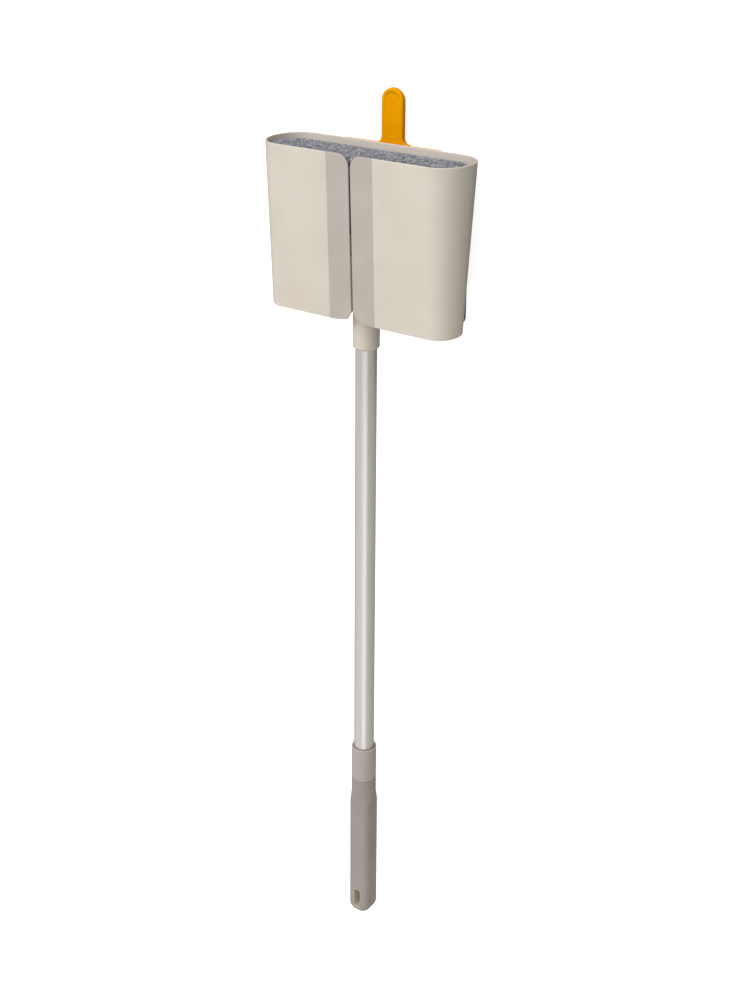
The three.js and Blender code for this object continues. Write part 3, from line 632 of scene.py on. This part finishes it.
def screw_row_tree():
    """Geometry Nodes: copies of one screw in a row along X."""
    tree, sockets, given = node_tree("screw row", {
        "Screw": "Object", "Count": "Int", "Spacing": "Float", "Depth": "Float", "Material": "Material",
    })
    steps = add(tree, "ShaderNodeMath", {0: given["Count"], 1: 1.0}, operation="SUBTRACT")
    span = add(tree, "ShaderNodeMath", {0: steps, 1: given["Spacing"]}, operation="MULTIPLY")
    start = add(tree, "ShaderNodeMath", {0: span, 1: -0.5}, operation="MULTIPLY")
    first = add(tree, "ShaderNodeCombineXYZ", {"X": start, "Y": given["Depth"]})
    pitch = add(tree, "ShaderNodeCombineXYZ", {"X": given["Spacing"]})
    row = add(tree, "GeometryNodeMeshLine", {
        "Count": given["Count"], "Start Location": first, "Offset": pitch,
    })
    screw = add(tree, "GeometryNodeObjectInfo", {"Object": given["Screw"]})
    copies = add(tree, "GeometryNodeInstanceOnPoints", {
        "Points": row, "Instance": screw.outputs["Geometry"],
    })
    real = add(tree, "GeometryNodeRealizeInstances", {"Geometry": copies})
    painted = add(tree, "GeometryNodeSetMaterial", {"Geometry": real, "Material": given["Material"]})
    add(tree, "NodeGroupOutput", {"Geometry": painted})
    return tree, sockets


def grown(obj, tree, sockets, values):
    """Runs a Geometry Nodes tree on an object with named values and keeps the result as a plain mesh."""
    modifier = obj.modifiers.new(tree.name, "NODES")
    modifier.node_group = tree
    for name, value in values.items():
        modifier[sockets[name]] = value
    return apply_modifiers(obj)


def wall_screws():
    head = screw_head()
    tree, sockets = screw_row_tree()
    screws = grown(mesh_object("wall_screws", [], []), tree, sockets, {
        "Screw": head, "Count": 2, "Spacing": SCREW_SPACING * MM,
        "Depth": -(PLATE_THICKNESS - 0.1) * MM, "Material": SCREW_ZINC,
    })
    bpy.data.objects.remove(head)
    return smooth(screws)


dress(softened("wall_plate", "wall_plate_moulding", 0.7), DARK_PP, "wall_plate", "plate_plastic")
dress(wall_screws(), SCREW_ZINC, "wall_plate", "tube")

# Comb and head


def comb_plate():
    """Spine, end bars and teeth."""
    half = COMB_WIDTH / 2
    root_z = COMB_TOP_Z - COMB_SPINE
    count = int((COMB_WIDTH - 2 * COMB_END) / TOOTH_PITCH)
    flat = [(half, COMB_TOP_Z), (-half, COMB_TOP_Z), (-half, COMB_BOTTOM_Z)]
    flat += [(-half + COMB_END, COMB_BOTTOM_Z), (-half + COMB_END, root_z)]
    for i in range(count):
        x = (i - (count - 1) / 2) * TOOTH_PITCH
        flat += [(x - TOOTH_ROOT / 2, root_z), (x - TOOTH_TIP / 2, COMB_BOTTOM_Z)]
        flat += [(x + TOOTH_TIP / 2, COMB_BOTTOM_Z), (x + TOOTH_ROOT / 2, root_z)]
    flat += [(half - COMB_END, root_z), (half - COMB_END, COMB_BOTTOM_Z), (half, COMB_BOTTOM_Z)]
    rings = [[(x, y, z) for x, z in flat] for y in (COMB_BACK, COMB_FRONT)]
    return round_edges(loft("comb_plate", rings), 0.45)


def tab_outline(inset, side_heights):
    """Right half of the thumb tab's outline, from its root up to the middle of its top."""
    foot_x = TAB_HALF + TAB_FILLET
    radius = TAB_FILLET + inset
    lean = math.degrees(math.asin(inset / radius))
    outline = [(foot_x - inset, COMB_TOP_Z - TAB_SUNK + inset)]
    outline += corner_arc(foot_x, COMB_TOP_Z + TAB_FILLET, radius, -90 - lean, -180, 8)
    outline += [(TAB_HALF - inset, z) for z in side_heights]
    outline += corner_arc(0.0, TAB_TOP_Z - TAB_HALF, TAB_HALF - inset, 0, 90, TAB_TOP_STEPS)[1:]
    return outline


def thumb_tab():
    """Tab with rounded edges and a dish for the thumb, deepest at its top and running out below."""
    dish_end = TAB_TOP_Z - THUMB_RIM - THUMB_LENGTH
    side_steps = 12
    rise = TAB_TOP_Z - TAB_HALF - dish_end
    side_heights = [dish_end + rise * i / side_steps for i in range(side_steps + 1)]
    front = COMB_FRONT - TAB_PROUD

    def ring(inset, y):
        half = tab_outline(inset, side_heights)
        return [(x, y, z) for x, z in half] + [(-x, y, z) for x, z in reversed(half[:-1])]

    back, face = TAB_BACK_ROUND, TAB_FRONT_ROUND
    edges = [(inset, TAB_BACK - depth) for inset, depth in corner_arc(back, back, back, 270, 180)]
    edges += [(inset, front + depth) for inset, depth in corner_arc(face, face, face, 180, 270, 8)]
    rings = [ring(inset, y) for inset, y in edges]
    count = len(rings[0])
    points = [p for one in rings for p in one]
    faces = bridge(rings)
    faces.append(tuple(reversed(range(count))))

    # The dish: rows that follow the last ring from where its straight side starts, each one further in.
    first = len(tab_outline(0.0, side_heights)) - TAB_TOP_STEPS - len(side_heights)
    inner = [list(range(len(points) - count + first, len(points) - first))]
    for inset in THUMB_INSETS:
        wall = min(max((inset - THUMB_RIM) / THUMB_WALL, 0.0), 1.0)
        row = []
        for x, y, z in ring(inset, front)[first:count - first]:
            along = min(max((z - dish_end) / THUMB_LENGTH, 0.0), 1.0)
            depth = THUMB_DEPTH * along * wall * wall * (3 - 2 * wall)
            row.append(len(points))
            points.append((x, y + depth, z))
        inner.append(row)
    for outer_row, inner_row in zip(inner, inner[1:]):
        for i in range(len(outer_row) - 1):
            faces.append((outer_row[i], outer_row[i + 1], inner_row[i + 1], inner_row[i]))

    # Its floor, and the flat face below it.
    last = inner[-1]
    for i in range(side_steps):
        faces.append((last[i], last[i + 1], last[-2 - i], last[-1 - i]))
    faces.append(tuple(last[side_steps:len(last) - side_steps]))
    start = len(rings) * count - count
    below = list(range(start + count - first, start + count)) + list(range(start, start + first + 1))
    faces.append(tuple([inner[0][-1]] + below + [row[0] for row in inner[1:]]
                       + [row[-1] for row in reversed(inner[1:])]))
    return smooth(mesh_object("thumb_tab", points, faces), 50)


dress(comb_plate(), YELLOW_PP, "comb", "comb_plastic", "comb")
dress(thumb_tab(), YELLOW_PP, "comb", "comb_plastic")
dress(softened("brush_block", "brush_block_moulding", 0.8), CREAM_ABS, "duster", "case_plastic")


def neck_sleeve():
    top, bottom = height("neck_socket", 1), height("neck_socket", 0)
    bore, bore_top = OUTER_TUBE_RADIUS + TUBE_PLAY, bottom + NECK_BORE_DEPTH
    profile = [(0.0, bore_top), (bore, bore_top), (bore, bottom + 0.2), (bore + 0.15, bottom)]
    profile += [(NECK_RADIUS - NECK_CHAMFER - 0.1, bottom), (NECK_RADIUS - NECK_CHAMFER + 0.1, bottom + 0.1)]
    profile += [(NECK_RADIUS - 0.2, bottom + NECK_CHAMFER - 0.2), (NECK_RADIUS, bottom + NECK_CHAMFER + 0.3)]
    profile += corner_arc(NECK_RADIUS - 0.8, top - 0.8, 0.8, 0, 90)
    profile += [(0.0, top)]
    return turned("neck_sleeve", profile)


dress(neck_sleeve(), CREAM_ABS, "duster", "case_plastic", "neck_socket")

# Fibres


def strand_field_tree():
    """Geometry Nodes: strands that stand on the backing and spread to a flat-trimmed top."""
    tree, sockets, given = node_tree("strand field", {
        "Geometry": "Geometry", "Density": "Float", "Strand Radius": "Float", "Bend": "Float",
        "Crimp": "Float", "Crimp Size": "Float", "Tip Height": "Float", "Tip Unevenness": "Float",
        "Tip Drift": "Float", "Spread": "Vector", "Centre": "Vector", "Shift": "Vector",
        "Seed": "Int", "Material": "Material",
    })

    roots = add(tree, "GeometryNodeDistributePointsOnFaces", {
        "Mesh": given["Geometry"], "Density": given["Density"], "Seed": given["Seed"],
    }, distribute_method="RANDOM")
    root = add(tree, "GeometryNodeInputPosition").outputs[0]
    from_centre = add(tree, "ShaderNodeVectorMath", {0: root, 1: given["Centre"]}, operation="SUBTRACT")
    spread = add(tree, "ShaderNodeVectorMath", {0: from_centre, 1: given["Spread"]}, operation="MULTIPLY")
    drift = add(tree, "FunctionNodeRandomValue", {
        0: (-1.0, -1.0, -1.0), 1: (1.0, 1.0, 1.0), "Seed": given["Seed"],
    }, data_type="FLOAT_VECTOR")
    uneven = add(tree, "ShaderNodeCombineXYZ", {
        "X": given["Tip Drift"], "Y": given["Tip Drift"], "Z": given["Tip Unevenness"],
    })
    wander = add(tree, "ShaderNodeVectorMath", {0: drift, 1: uneven}, operation="MULTIPLY")
    rise = add(tree, "ShaderNodeCombineXYZ", {"Z": given["Tip Height"]})
    reach = add(tree, "ShaderNodeVectorMath", {0: spread, 1: rise}, operation="ADD")
    shifted = add(tree, "ShaderNodeVectorMath", {0: reach, 1: given["Shift"]}, operation="ADD")
    along = add(tree, "ShaderNodeVectorMath", {0: shifted, 1: wander}, operation="ADD")
    length = add(tree, "ShaderNodeVectorMath", {0: along}, operation="LENGTH")

    line = add(tree, "GeometryNodeCurvePrimitiveLine", {"End": (0.0, 0.0, 1.0)})
    steps = add(tree, "GeometryNodeResampleCurve", {"Curve": line, "Count": 4})
    place = add(tree, "GeometryNodeSplineParameter").outputs["Factor"]
    arch = add(tree, "ShaderNodeMath", {0: place, 1: math.pi}, operation="MULTIPLY")
    bow = add(tree, "ShaderNodeMath", {0: arch}, operation="SINE")
    sway = add(tree, "ShaderNodeMath", {0: bow, 1: given["Bend"]}, operation="MULTIPLY")
    offset = add(tree, "ShaderNodeCombineXYZ", {"X": sway})
    bowed = add(tree, "GeometryNodeSetPosition", {"Geometry": steps, "Offset": offset})
    ring = add(tree, "GeometryNodeCurvePrimitiveCircle", {"Resolution": 3, "Radius": given["Strand Radius"]})
    strand = add(tree, "GeometryNodeCurveToMesh", {
        "Curve": bowed, "Profile Curve": ring, "Fill Caps": True,
    })

    turn = add(tree, "FunctionNodeRandomValue", {1: (0.0, 0.0, 2 * math.pi), "Seed": given["Seed"]},
               data_type="FLOAT_VECTOR")
    twist = add(tree, "FunctionNodeEulerToRotation", {0: turn})
    aim = add(tree, "FunctionNodeAlignRotationToVector", {"Rotation": twist, "Vector": along}, axis="Z")
    stretch = add(tree, "ShaderNodeCombineXYZ", {"X": 1.0, "Y": 1.0, "Z": length.outputs["Value"]})
    strands = add(tree, "GeometryNodeInstanceOnPoints", {
        "Points": roots, "Instance": strand,
        "Rotation": aim, "Scale": stretch,
    })
    tone = add(tree, "FunctionNodeRandomValue", {"Seed": given["Seed"]}, data_type="FLOAT")
    toned = add(tree, "GeometryNodeStoreNamedAttribute", {
        "Geometry": strands, "Name": "tone", "Value": tone.outputs["Value"],
    }, data_type="FLOAT", domain="INSTANCE")
    real = add(tree, "GeometryNodeRealizeInstances", {"Geometry": toned})

    waves = add(tree, "ShaderNodeTexNoise", {"Scale": given["Crimp Size"], "Detail": 1.0})
    centred = add(tree, "ShaderNodeVectorMath", {0: waves.outputs["Color"], 1: (0.5, 0.5, 0.5)},
                  operation="SUBTRACT")
    crimp = add(tree, "ShaderNodeVectorMath", {0: centred, "Scale": given["Crimp"]}, operation="SCALE")
    crimped = add(tree, "GeometryNodeSetPosition", {"Geometry": real, "Offset": crimp})
    even = add(tree, "GeometryNodeSetShadeSmooth", {"Geometry": crimped})
    painted = add(tree, "GeometryNodeSetMaterial", {"Geometry": even, "Material": given["Material"]})
    add(tree, "NodeGroupOutput", {"Geometry": painted})
    return tree, sockets


def backing_slice(index):
    """The stretch of the backing's top that one strand field stands on, a little inside its edge."""
    inset = 0.5
    z = BACKING_Z + BACKING_HEIGHT - ROOT_SUNK
    slice_width = HEAD_WIDTH / FIBRE_FIELDS
    left = -HEAD_WIDTH / 2 + index * slice_width
    ring = oval(HEAD_WIDTH - 2 * inset, HEAD_DEPTH - 2 * inset, POLE_Y, z)
    kept = [p for p in ring if left < p[0] < left + slice_width]
    half = HEAD_DEPTH / 2 - inset
    corners = []
    for x in (left, left + slice_width):
        if abs(x) < HEAD_WIDTH / 2 - HEAD_DEPTH / 2:
            corners += [(x, POLE_Y - half, z), (x, POLE_Y + half, z)]
    middle = Vector((left + slice_width / 2, POLE_Y, z))
    outline = sorted(kept + corners, key=lambda p: math.atan2(p[1] - middle.y, p[0] - middle.x))
    return mesh_object(f"fibre_strands_{index + 1}", outline, [tuple(range(len(outline)))])


def fibre_strands():
    tree, sockets = strand_field_tree()
    rise = FIBRE_TOP_Z - BACKING_Z - BACKING_HEIGHT + ROOT_SUNK
    spread = (FIBRE_TOP_WIDTH / HEAD_WIDTH - 1, FIBRE_TOP_DEPTH / HEAD_DEPTH - 1, 0.0)
    for index in range(FIBRE_FIELDS):
        field = grown(backing_slice(index), tree, sockets, {
            "Density": 3.6e6, "Strand Radius": 0.24 * MM, "Bend": 0.5 * MM,
            "Crimp": 1.2 * MM, "Crimp Size": 260.0, "Tip Height": (rise - 1.0) * MM,
            "Tip Unevenness": 0.5 * MM, "Tip Drift": 0.9 * MM, "Spread": spread,
            "Centre": (0.0, POLE_Y * MM, 0.0), "Shift": (0.0, FIBRE_TOP_SHIFT * MM, 0.0),
            "Seed": 11 + index, "Material": FIBRE,
        })
        dress(field, FIBRE, "duster", "fibre", f"fibre_field_{index + 1}")


def fibre_core():
    """The dense felt under the strands, which closes the gaps between them, with the backing's edge."""
    # Its top shows between the strands and carries the pile's painted shade.
    top = FIBRE_TOP_Z - 3.2
    backing_top = BACKING_Z + BACKING_HEIGHT
    width = FIBRE_TOP_WIDTH - 5.0
    depth = FIBRE_TOP_DEPTH - 5.0
    middle = POLE_Y + FIBRE_TOP_SHIFT
    rings = [
        oval(HEAD_WIDTH - 1.0, HEAD_DEPTH - 1.0, POLE_Y, BACKING_Z),
        oval(HEAD_WIDTH, HEAD_DEPTH, POLE_Y, BACKING_Z + 0.5),
        oval(HEAD_WIDTH, HEAD_DEPTH, POLE_Y, backing_top - 0.5),
        oval(HEAD_WIDTH - 1.0, HEAD_DEPTH - 1.0, POLE_Y, backing_top),
        oval(HEAD_WIDTH - 3.0, HEAD_DEPTH - 3.0, POLE_Y, backing_top + 0.2),
        oval(width, depth, middle, top - 1.5),
        oval(width - 3.0, depth - 3.0, middle, top),
    ]
    return smooth(loft("fibre_core", rings))


fibre_strands()
dress(fibre_core(), FIBRE, "duster", "fibre")

# Pole


def pole_tube(name, node, radius):
    """A plain drawn tube with its cut ends just broken."""
    bottom, top = height(node, 0), height(node, 1)
    edge = 0.15
    bore = radius - TUBE_WALL
    profile = [
        (radius - edge, bottom), (radius, bottom + edge), (radius, top - edge), (radius - edge, top),
        (bore + edge, top), (bore, top - edge), (bore, bottom + edge), (bore + edge, bottom),
    ]
    return turned(name, profile)


def collar_sleeve():
    """Twist collar: a mouth close round the tube, a cone inside that closes the collet, and fine turned
    rings near both ends."""
    bottom, top = height("twist_collar", 0), height("twist_collar", 1)
    groove = 0.22
    outside = [(COLLAR_RADIUS - 0.75, bottom), (COLLAR_RADIUS - 0.5, bottom + 0.05)]
    outside += [(COLLAR_RADIUS - 0.05, bottom + 0.5), (COLLAR_RADIUS, bottom + 0.75)]
    for middle in (bottom + 2.6, bottom + 4.2, top - 6.4, top - 4.8, top - 3.2):
        outside += [
            (COLLAR_RADIUS, middle - 0.35), (COLLAR_RADIUS - groove, middle - 0.12),
            (COLLAR_RADIUS - groove, middle + 0.12), (COLLAR_RADIUS, middle + 0.35),
        ]
    outside += corner_arc(COLLAR_RADIUS - 0.5, top - 0.5, 0.5, 0, 90)
    inside = corner_arc(OUTER_TUBE_RADIUS + 0.75, top - 0.3, 0.3, 90, 180)
    floor, bore = bottom + COLLAR_FLOOR, INNER_TUBE_RADIUS + TUBE_PLAY
    inside += [
        (OUTER_TUBE_RADIUS + 0.45, top - 1.6), (COLLAR_BORE, top - 2.6),
        (COLLAR_BORE, floor + COLLAR_CONE_HEIGHT), (COLLAR_BORE - COLLAR_CONE_DEPTH, floor),
        (bore, floor), (bore, bottom),
    ]
    return turned("collar_sleeve", outside + inside)


dress(pole_tube("pole_outer_tube", "outer_tube", OUTER_TUBE_RADIUS), OUTER_ALUMINIUM,
      "duster", "tube", "outer_tube")
dress(pole_tube("pole_inner_tube", "inner_tube", INNER_TUBE_RADIUS), INNER_ALUMINIUM,
      "inner_pole", "tube", "inner_tube")
dress(collar_sleeve(), COLLAR_NYLON, "twist_collar", "collar_plastic", "twist_collar")
for node, name, radius, material, body in (
    ("tube_plug", "outer_tube_plug", 0.3, DARK_PP, "duster"),
    ("lock_bush", "collet_bush", 0.15, COLLAR_NYLON, "duster"),
    ("guide_bush", "inner_tube_guide", 0.3, DARK_PP, "inner_pole"),
    ("tube_end_plug", "inner_tube_plug", 0.3, DARK_PP, "inner_pole"),
):
    dress(softened(node, name, radius), material, body, "plate_plastic")

# Grip


def grip_ring(half_x, half_y, radius, z):
    """A rectangle with rounded corners about the pole, which is a circle where the radius is its half."""
    r = min(radius, 0.998 * half_x, 0.998 * half_y)
    ring = []
    for side_x, side_y, start in ((1, 1, 0), (-1, 1, 90), (-1, -1, 180), (1, -1, 270)):
        arc = corner_arc(side_x * (half_x - r), side_y * (half_y - r), r, start, start + 90, 16)
        ring += [(x, y + POLE_Y, z) for x, y in arc]
    return ring


def slot_outline(inset):
    w, h, r = SLOT_WIDTH / 2, SLOT_HEIGHT / 2, SLOT_RADIUS
    return rounded([(-w, -h, r), (w, -h, r), (w, h, r), (-w, h, r)], 6, inset)


def slot_tool(middle_z):
    """Cutter for the hanging slot, which narrows from the grip's front and back to its middle."""
    past, mouth = GRIP_HALF + 1.0, GRIP_HALF - 1.0
    rings = []
    for y, inset in ((past, 0.0), (mouth, 0.0), (0.0, SLOT_DRAFT), (-mouth, 0.0), (-past, 0.0)):
        rings.append([(x, POLE_Y + y, middle_z + z) for x, z in slot_outline(inset)])
    return loft("slot_tool", rings)


def end_inset(radius, above):
    """How far a rounded end takes in the side at a height above its tip."""
    below = max(radius - above, 0.0)
    return radius - math.sqrt(radius ** 2 - below ** 2)


def grip_sleeve():
    bottom, top = height("grip", 0), height("grip", 1)
    rings = []
    steps = 14
    for i in range(steps + 1):
        above = GRIP_END_RADIUS * (1 - math.cos(i / steps * math.pi / 2))
        half_x = GRIP_HALF - end_inset(GRIP_END_RADIUS, above)
        half_y = GRIP_HALF - end_inset(GRIP_END_SIDE_RADIUS, above)
        rings.append(grip_ring(half_x, half_y, GRIP_CORNER, bottom + above))
    flare_z = top - GRIP_NECK - GRIP_FLARE
    for i in range(steps + 1):
        t = i / steps
        ease = t * t * (3 - 2 * t)
        half = GRIP_HALF + (GRIP_NECK_RADIUS - GRIP_HALF) * ease
        corner = GRIP_CORNER + (GRIP_NECK_RADIUS - GRIP_CORNER) * ease
        rings.append(grip_ring(half, half, corner, flare_z + GRIP_FLARE * t))
    for radius, z in ((GRIP_NECK_RADIUS, top - 0.75), (GRIP_NECK_RADIUS - 0.05, top - 0.5),
                      (GRIP_NECK_RADIUS - 0.5, top - 0.05), (GRIP_NECK_RADIUS - 0.75, top)):
        rings.append(grip_ring(radius, radius, radius, z))
    bore = INNER_TUBE_RADIUS + TUBE_PLAY
    bore_end = height("tube_end_plug", 0) - TUBE_PLAY
    rings += [grip_ring(bore, bore, bore, z) for z in (top, bore_end)]
    grip = cut(loft("grip_sleeve", rings), slot_tool(bottom + SLOT_FROM_END + SLOT_HEIGHT / 2))
    return smooth(grip, 30)


def slot_eyelet(side, word):
    """Half of the eyelet that lines the hanging slot: a low bead round its mouth in the grip's front or
    back, and a skin on its walls as far as the slot's middle. Its pale colour is painted light: a painted
    highlight round the mouth and painted light on the shaded walls."""
    middle_z = height("grip", 0) + SLOT_FROM_END + SLOT_HEIGHT / 2
    section = [(EYELET_WIDTH * (1 + c) / 2, EYELET_PROUD * s) for c, s in corner_arc(0, 0, 1, 180, 0, 8)]
    section += [(EYELET_WIDTH, -EYELET_PROUD), (EYELET_PROUD, -1.0)]
    section += [(EYELET_PROUD - SLOT_DRAFT, -GRIP_HALF), (-EYELET_SKIN - SLOT_DRAFT, -GRIP_HALF)]
    section += [(-EYELET_SKIN, -1.0)]
    rings = []
    for grow, proud in section:
        y = POLE_Y + side * (GRIP_HALF + proud)
        rings.append([(x, y, middle_z + z) for x, z in slot_outline(-grow)])
    count = len(rings) * len(rings[0])
    faces = [tuple(i % count for i in f) for f in bridge(rings + rings[:1])]
    if side < 0:
        faces = [tuple(reversed(f)) for f in faces]
    return smooth(mesh_object(f"slot_eyelet_{word}", [p for ring in rings for p in ring], faces))


dress(grip_sleeve(), GRIP_TPE, "inner_pole", "grip_rubber", "grip")
# The eyelets carry a painted highlight round the slot and painted light inside it.
for side, word in ((-1, "front"), (1, "back")):
    dress(slot_eyelet(side, word), EYELET_PP_PAINTED_LIGHT, "inner_pole", "grip_rubber")

# Studio


def matt_paint(name, cloud, dark, light, **sockets):
    """Matt paint that is a little darker and lighter in clouds, with its tree, shader and place."""
    material, tree, shader = finish(name, **sockets)
    place = add(tree, "ShaderNodeTexCoord").outputs["Object"]
    shade = add(tree, "ShaderNodeTexNoise", {"Vector": place, "Scale": 1 / (cloud * MM)})
    colour = add(tree, "ShaderNodeValToRGB", {"Fac": shade}, [(0.3, dark), (0.7, light)])
    tree.links.new(colour.outputs["Color"], shader.inputs["Base Color"])
    return material, tree, shader, place


def wall_and_floor():
    """White wall behind the holder, and a pale floor below. The camera sees the wall shine white, and
    what it bounces on to the object is dimmer, more so at the case. So that the back shows too, the wall
    is clear from behind and open behind the wall plate."""
    x, low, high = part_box("wall_plate")[1].x / MM, height("wall_plate", 0), height("wall_plate", 1)
    r = PLATE_CORNER
    outer, opening = (
        rounded([(-half, bottom, r), (half, bottom, r), (half, top, r), (-half, top, r)], inset=inset)
        for half, bottom, top, inset in ((WALL_HALF, FLOOR_Z, WALL_TOP_Z, 0.0), (x, low, high, 1.5))
    )
    wall = mesh_object("wall", [(x, WALL_Y, z) for x, z in outer + opening], bridge([outer, opening]))
    material, tree, shader, place = matt_paint(
        "white wall paint", 400, "#cccccb", "#cfcfce",
        Roughness=0.9, Emission_Color=(1.0, 1.0, 1.0, 1.0), Emission_Strength=0.8)
    by_camera = add(tree, "ShaderNodeLightPath").outputs["Is Camera Ray"]
    level = add(tree, "ShaderNodeSeparateXYZ", {"Vector": place})
    fade = add(tree, "ShaderNodeMapRange", {
        "Value": level.outputs["Z"], "From Min": -200 * MM, "From Max": 0.0,
    })
    bounce = add(tree, "ShaderNodeValToRGB", {"Fac": fade}, [(0.0, "#b8b7b5"), (1.0, "#7e7d7a")])
    dim = add(tree, "ShaderNodeBsdfDiffuse", {"Color": bounce})
    seen = add(tree, "ShaderNodeMixShader", {0: by_camera, 1: dim, 2: shader})
    behind = add(tree, "ShaderNodeNewGeometry").outputs["Backfacing"]
    clear = add(tree, "ShaderNodeBsdfTransparent")
    one_sided = add(tree, "ShaderNodeMixShader", {0: behind, 1: seen, 2: clear})
    tree.links.new(one_sided.outputs[0], tree.nodes["Material Output"].inputs["Surface"])
    wall.data.materials.append(material)

    far = FLOOR_HALF
    corners = [(-far, -far), (far, -far), (far, WALL_Y), (-far, WALL_Y)]
    floor = mesh_object("floor", [(x, y, FLOOR_Z) for x, y in corners], [(0, 1, 2, 3)])
    floor.data.materials.append(matt_paint("pale matt floor", 300, "#d3d2d0", "#d8d7d5", Roughness=0.8)[0])


def softbox(name, aim_z, turn, rise, distance, size, power):
    """A rectangular light that faces the pole at a height, from a distance in metres. Turn and rise are in
    degrees. Turn is 0 straight in front and grows to the right."""
    target = Vector((0.0, POLE_Y, aim_z)) * MM
    a, e = math.radians(turn), math.radians(rise)
    back = Vector((math.sin(a) * math.cos(e), -math.cos(a) * math.cos(e), math.sin(e)))
    light = bpy.data.lights.new(name, "AREA")
    light.shape = "RECTANGLE"
    light.size, light.size_y = size
    light.energy = power
    obj = bpy.data.objects.new(name, light)
    bpy.context.scene.collection.objects.link(obj)
    obj.location = target + back * distance
    obj.rotation_mode = "QUATERNION"
    obj.rotation_quaternion = back.to_track_quat("Z", "Y")


def studio():
    """A key light from the left and one from above for the case, two long fills that the tube mirrors,
    and three low lights for the collar and the grip, in a dim warm room."""
    wall_and_floor()
    softbox("key_left", 0.0, -25, 35, 3.0, (1.6, 1.6), 32.0)
    softbox("top", 0.0, 20, 70, 2.4, (1.8, 1.8), 30.0)
    softbox("fill_left", -250.0, -68, 5, 2.6, (4.6, 2.6), 7.0)
    softbox("fill_front", -250.0, 14, 5, 2.6, (2.8, 2.6), 6.8)
    softbox("low_left", -965.0, -52, 0, 0.9, (2.8, 1.07), 2.6)
    softbox("low_front", -965.0, 30, 0, 0.9, (0.78, 1.07), 1.7)
    softbox("low_right", -950.0, 82, 0, 0.9, (0.6, 0.9), 0.3)
    world = bpy.data.worlds.new("studio")
    bpy.context.scene.world = world
    world.use_nodes = True
    tree = world.node_tree
    light = tree.nodes["Background"]
    light.inputs["Color"].default_value = (1.0, 0.972, 0.905, 1.0)
    light.inputs["Strength"].default_value = 0.42
    seen = add(tree, "ShaderNodeBackground", {"Color": (0.9, 0.9, 0.9, 1.0)})
    by_camera = add(tree, "ShaderNodeLightPath").outputs["Is Camera Ray"]
    chosen = add(tree, "ShaderNodeMixShader", {0: by_camera, 1: light, 2: seen})
    tree.links.new(chosen.outputs[0], tree.nodes["World Output"].inputs["Surface"])
    bpy.context.scene.view_settings.view_transform = "Standard"


def camera():
    """Stands right of the holder and above its rim, where the photograph was taken from. Its angles are in
    radians, its distance in millimetres and its focal length in pixels of the 1000 that the picture is
    high."""
    turn, tilt, roll = 0.59255, 0.36006, 0.00794
    focal, distance = 1486.72, 1492.48
    aim = Vector((10.757, POLE_Y, -112.690)) * MM
    back = Vector((math.sin(turn) * math.cos(tilt), -math.cos(turn) * math.cos(tilt), math.sin(tilt)))
    right = Vector((math.cos(turn), math.sin(turn), 0.0))
    up = back.cross(right)
    rolled_right = math.cos(roll) * right + math.sin(roll) * up
    rolled_up = math.cos(roll) * up - math.sin(roll) * right
    data = bpy.data.cameras.new("camera")
    data.lens = data.sensor_width * focal / 1000
    data.shift_y = -0.13
    data.clip_start, data.clip_end = 0.05, 20.0
    obj = bpy.data.objects.new("camera", data)
    bpy.context.scene.collection.objects.link(obj)
    axes = Matrix((rolled_right, rolled_up, back)).transposed().to_4x4()
    obj.matrix_world = Matrix.Translation(aim + back * distance * MM) @ axes
    bpy.context.scene.camera = obj


studio()
camera()
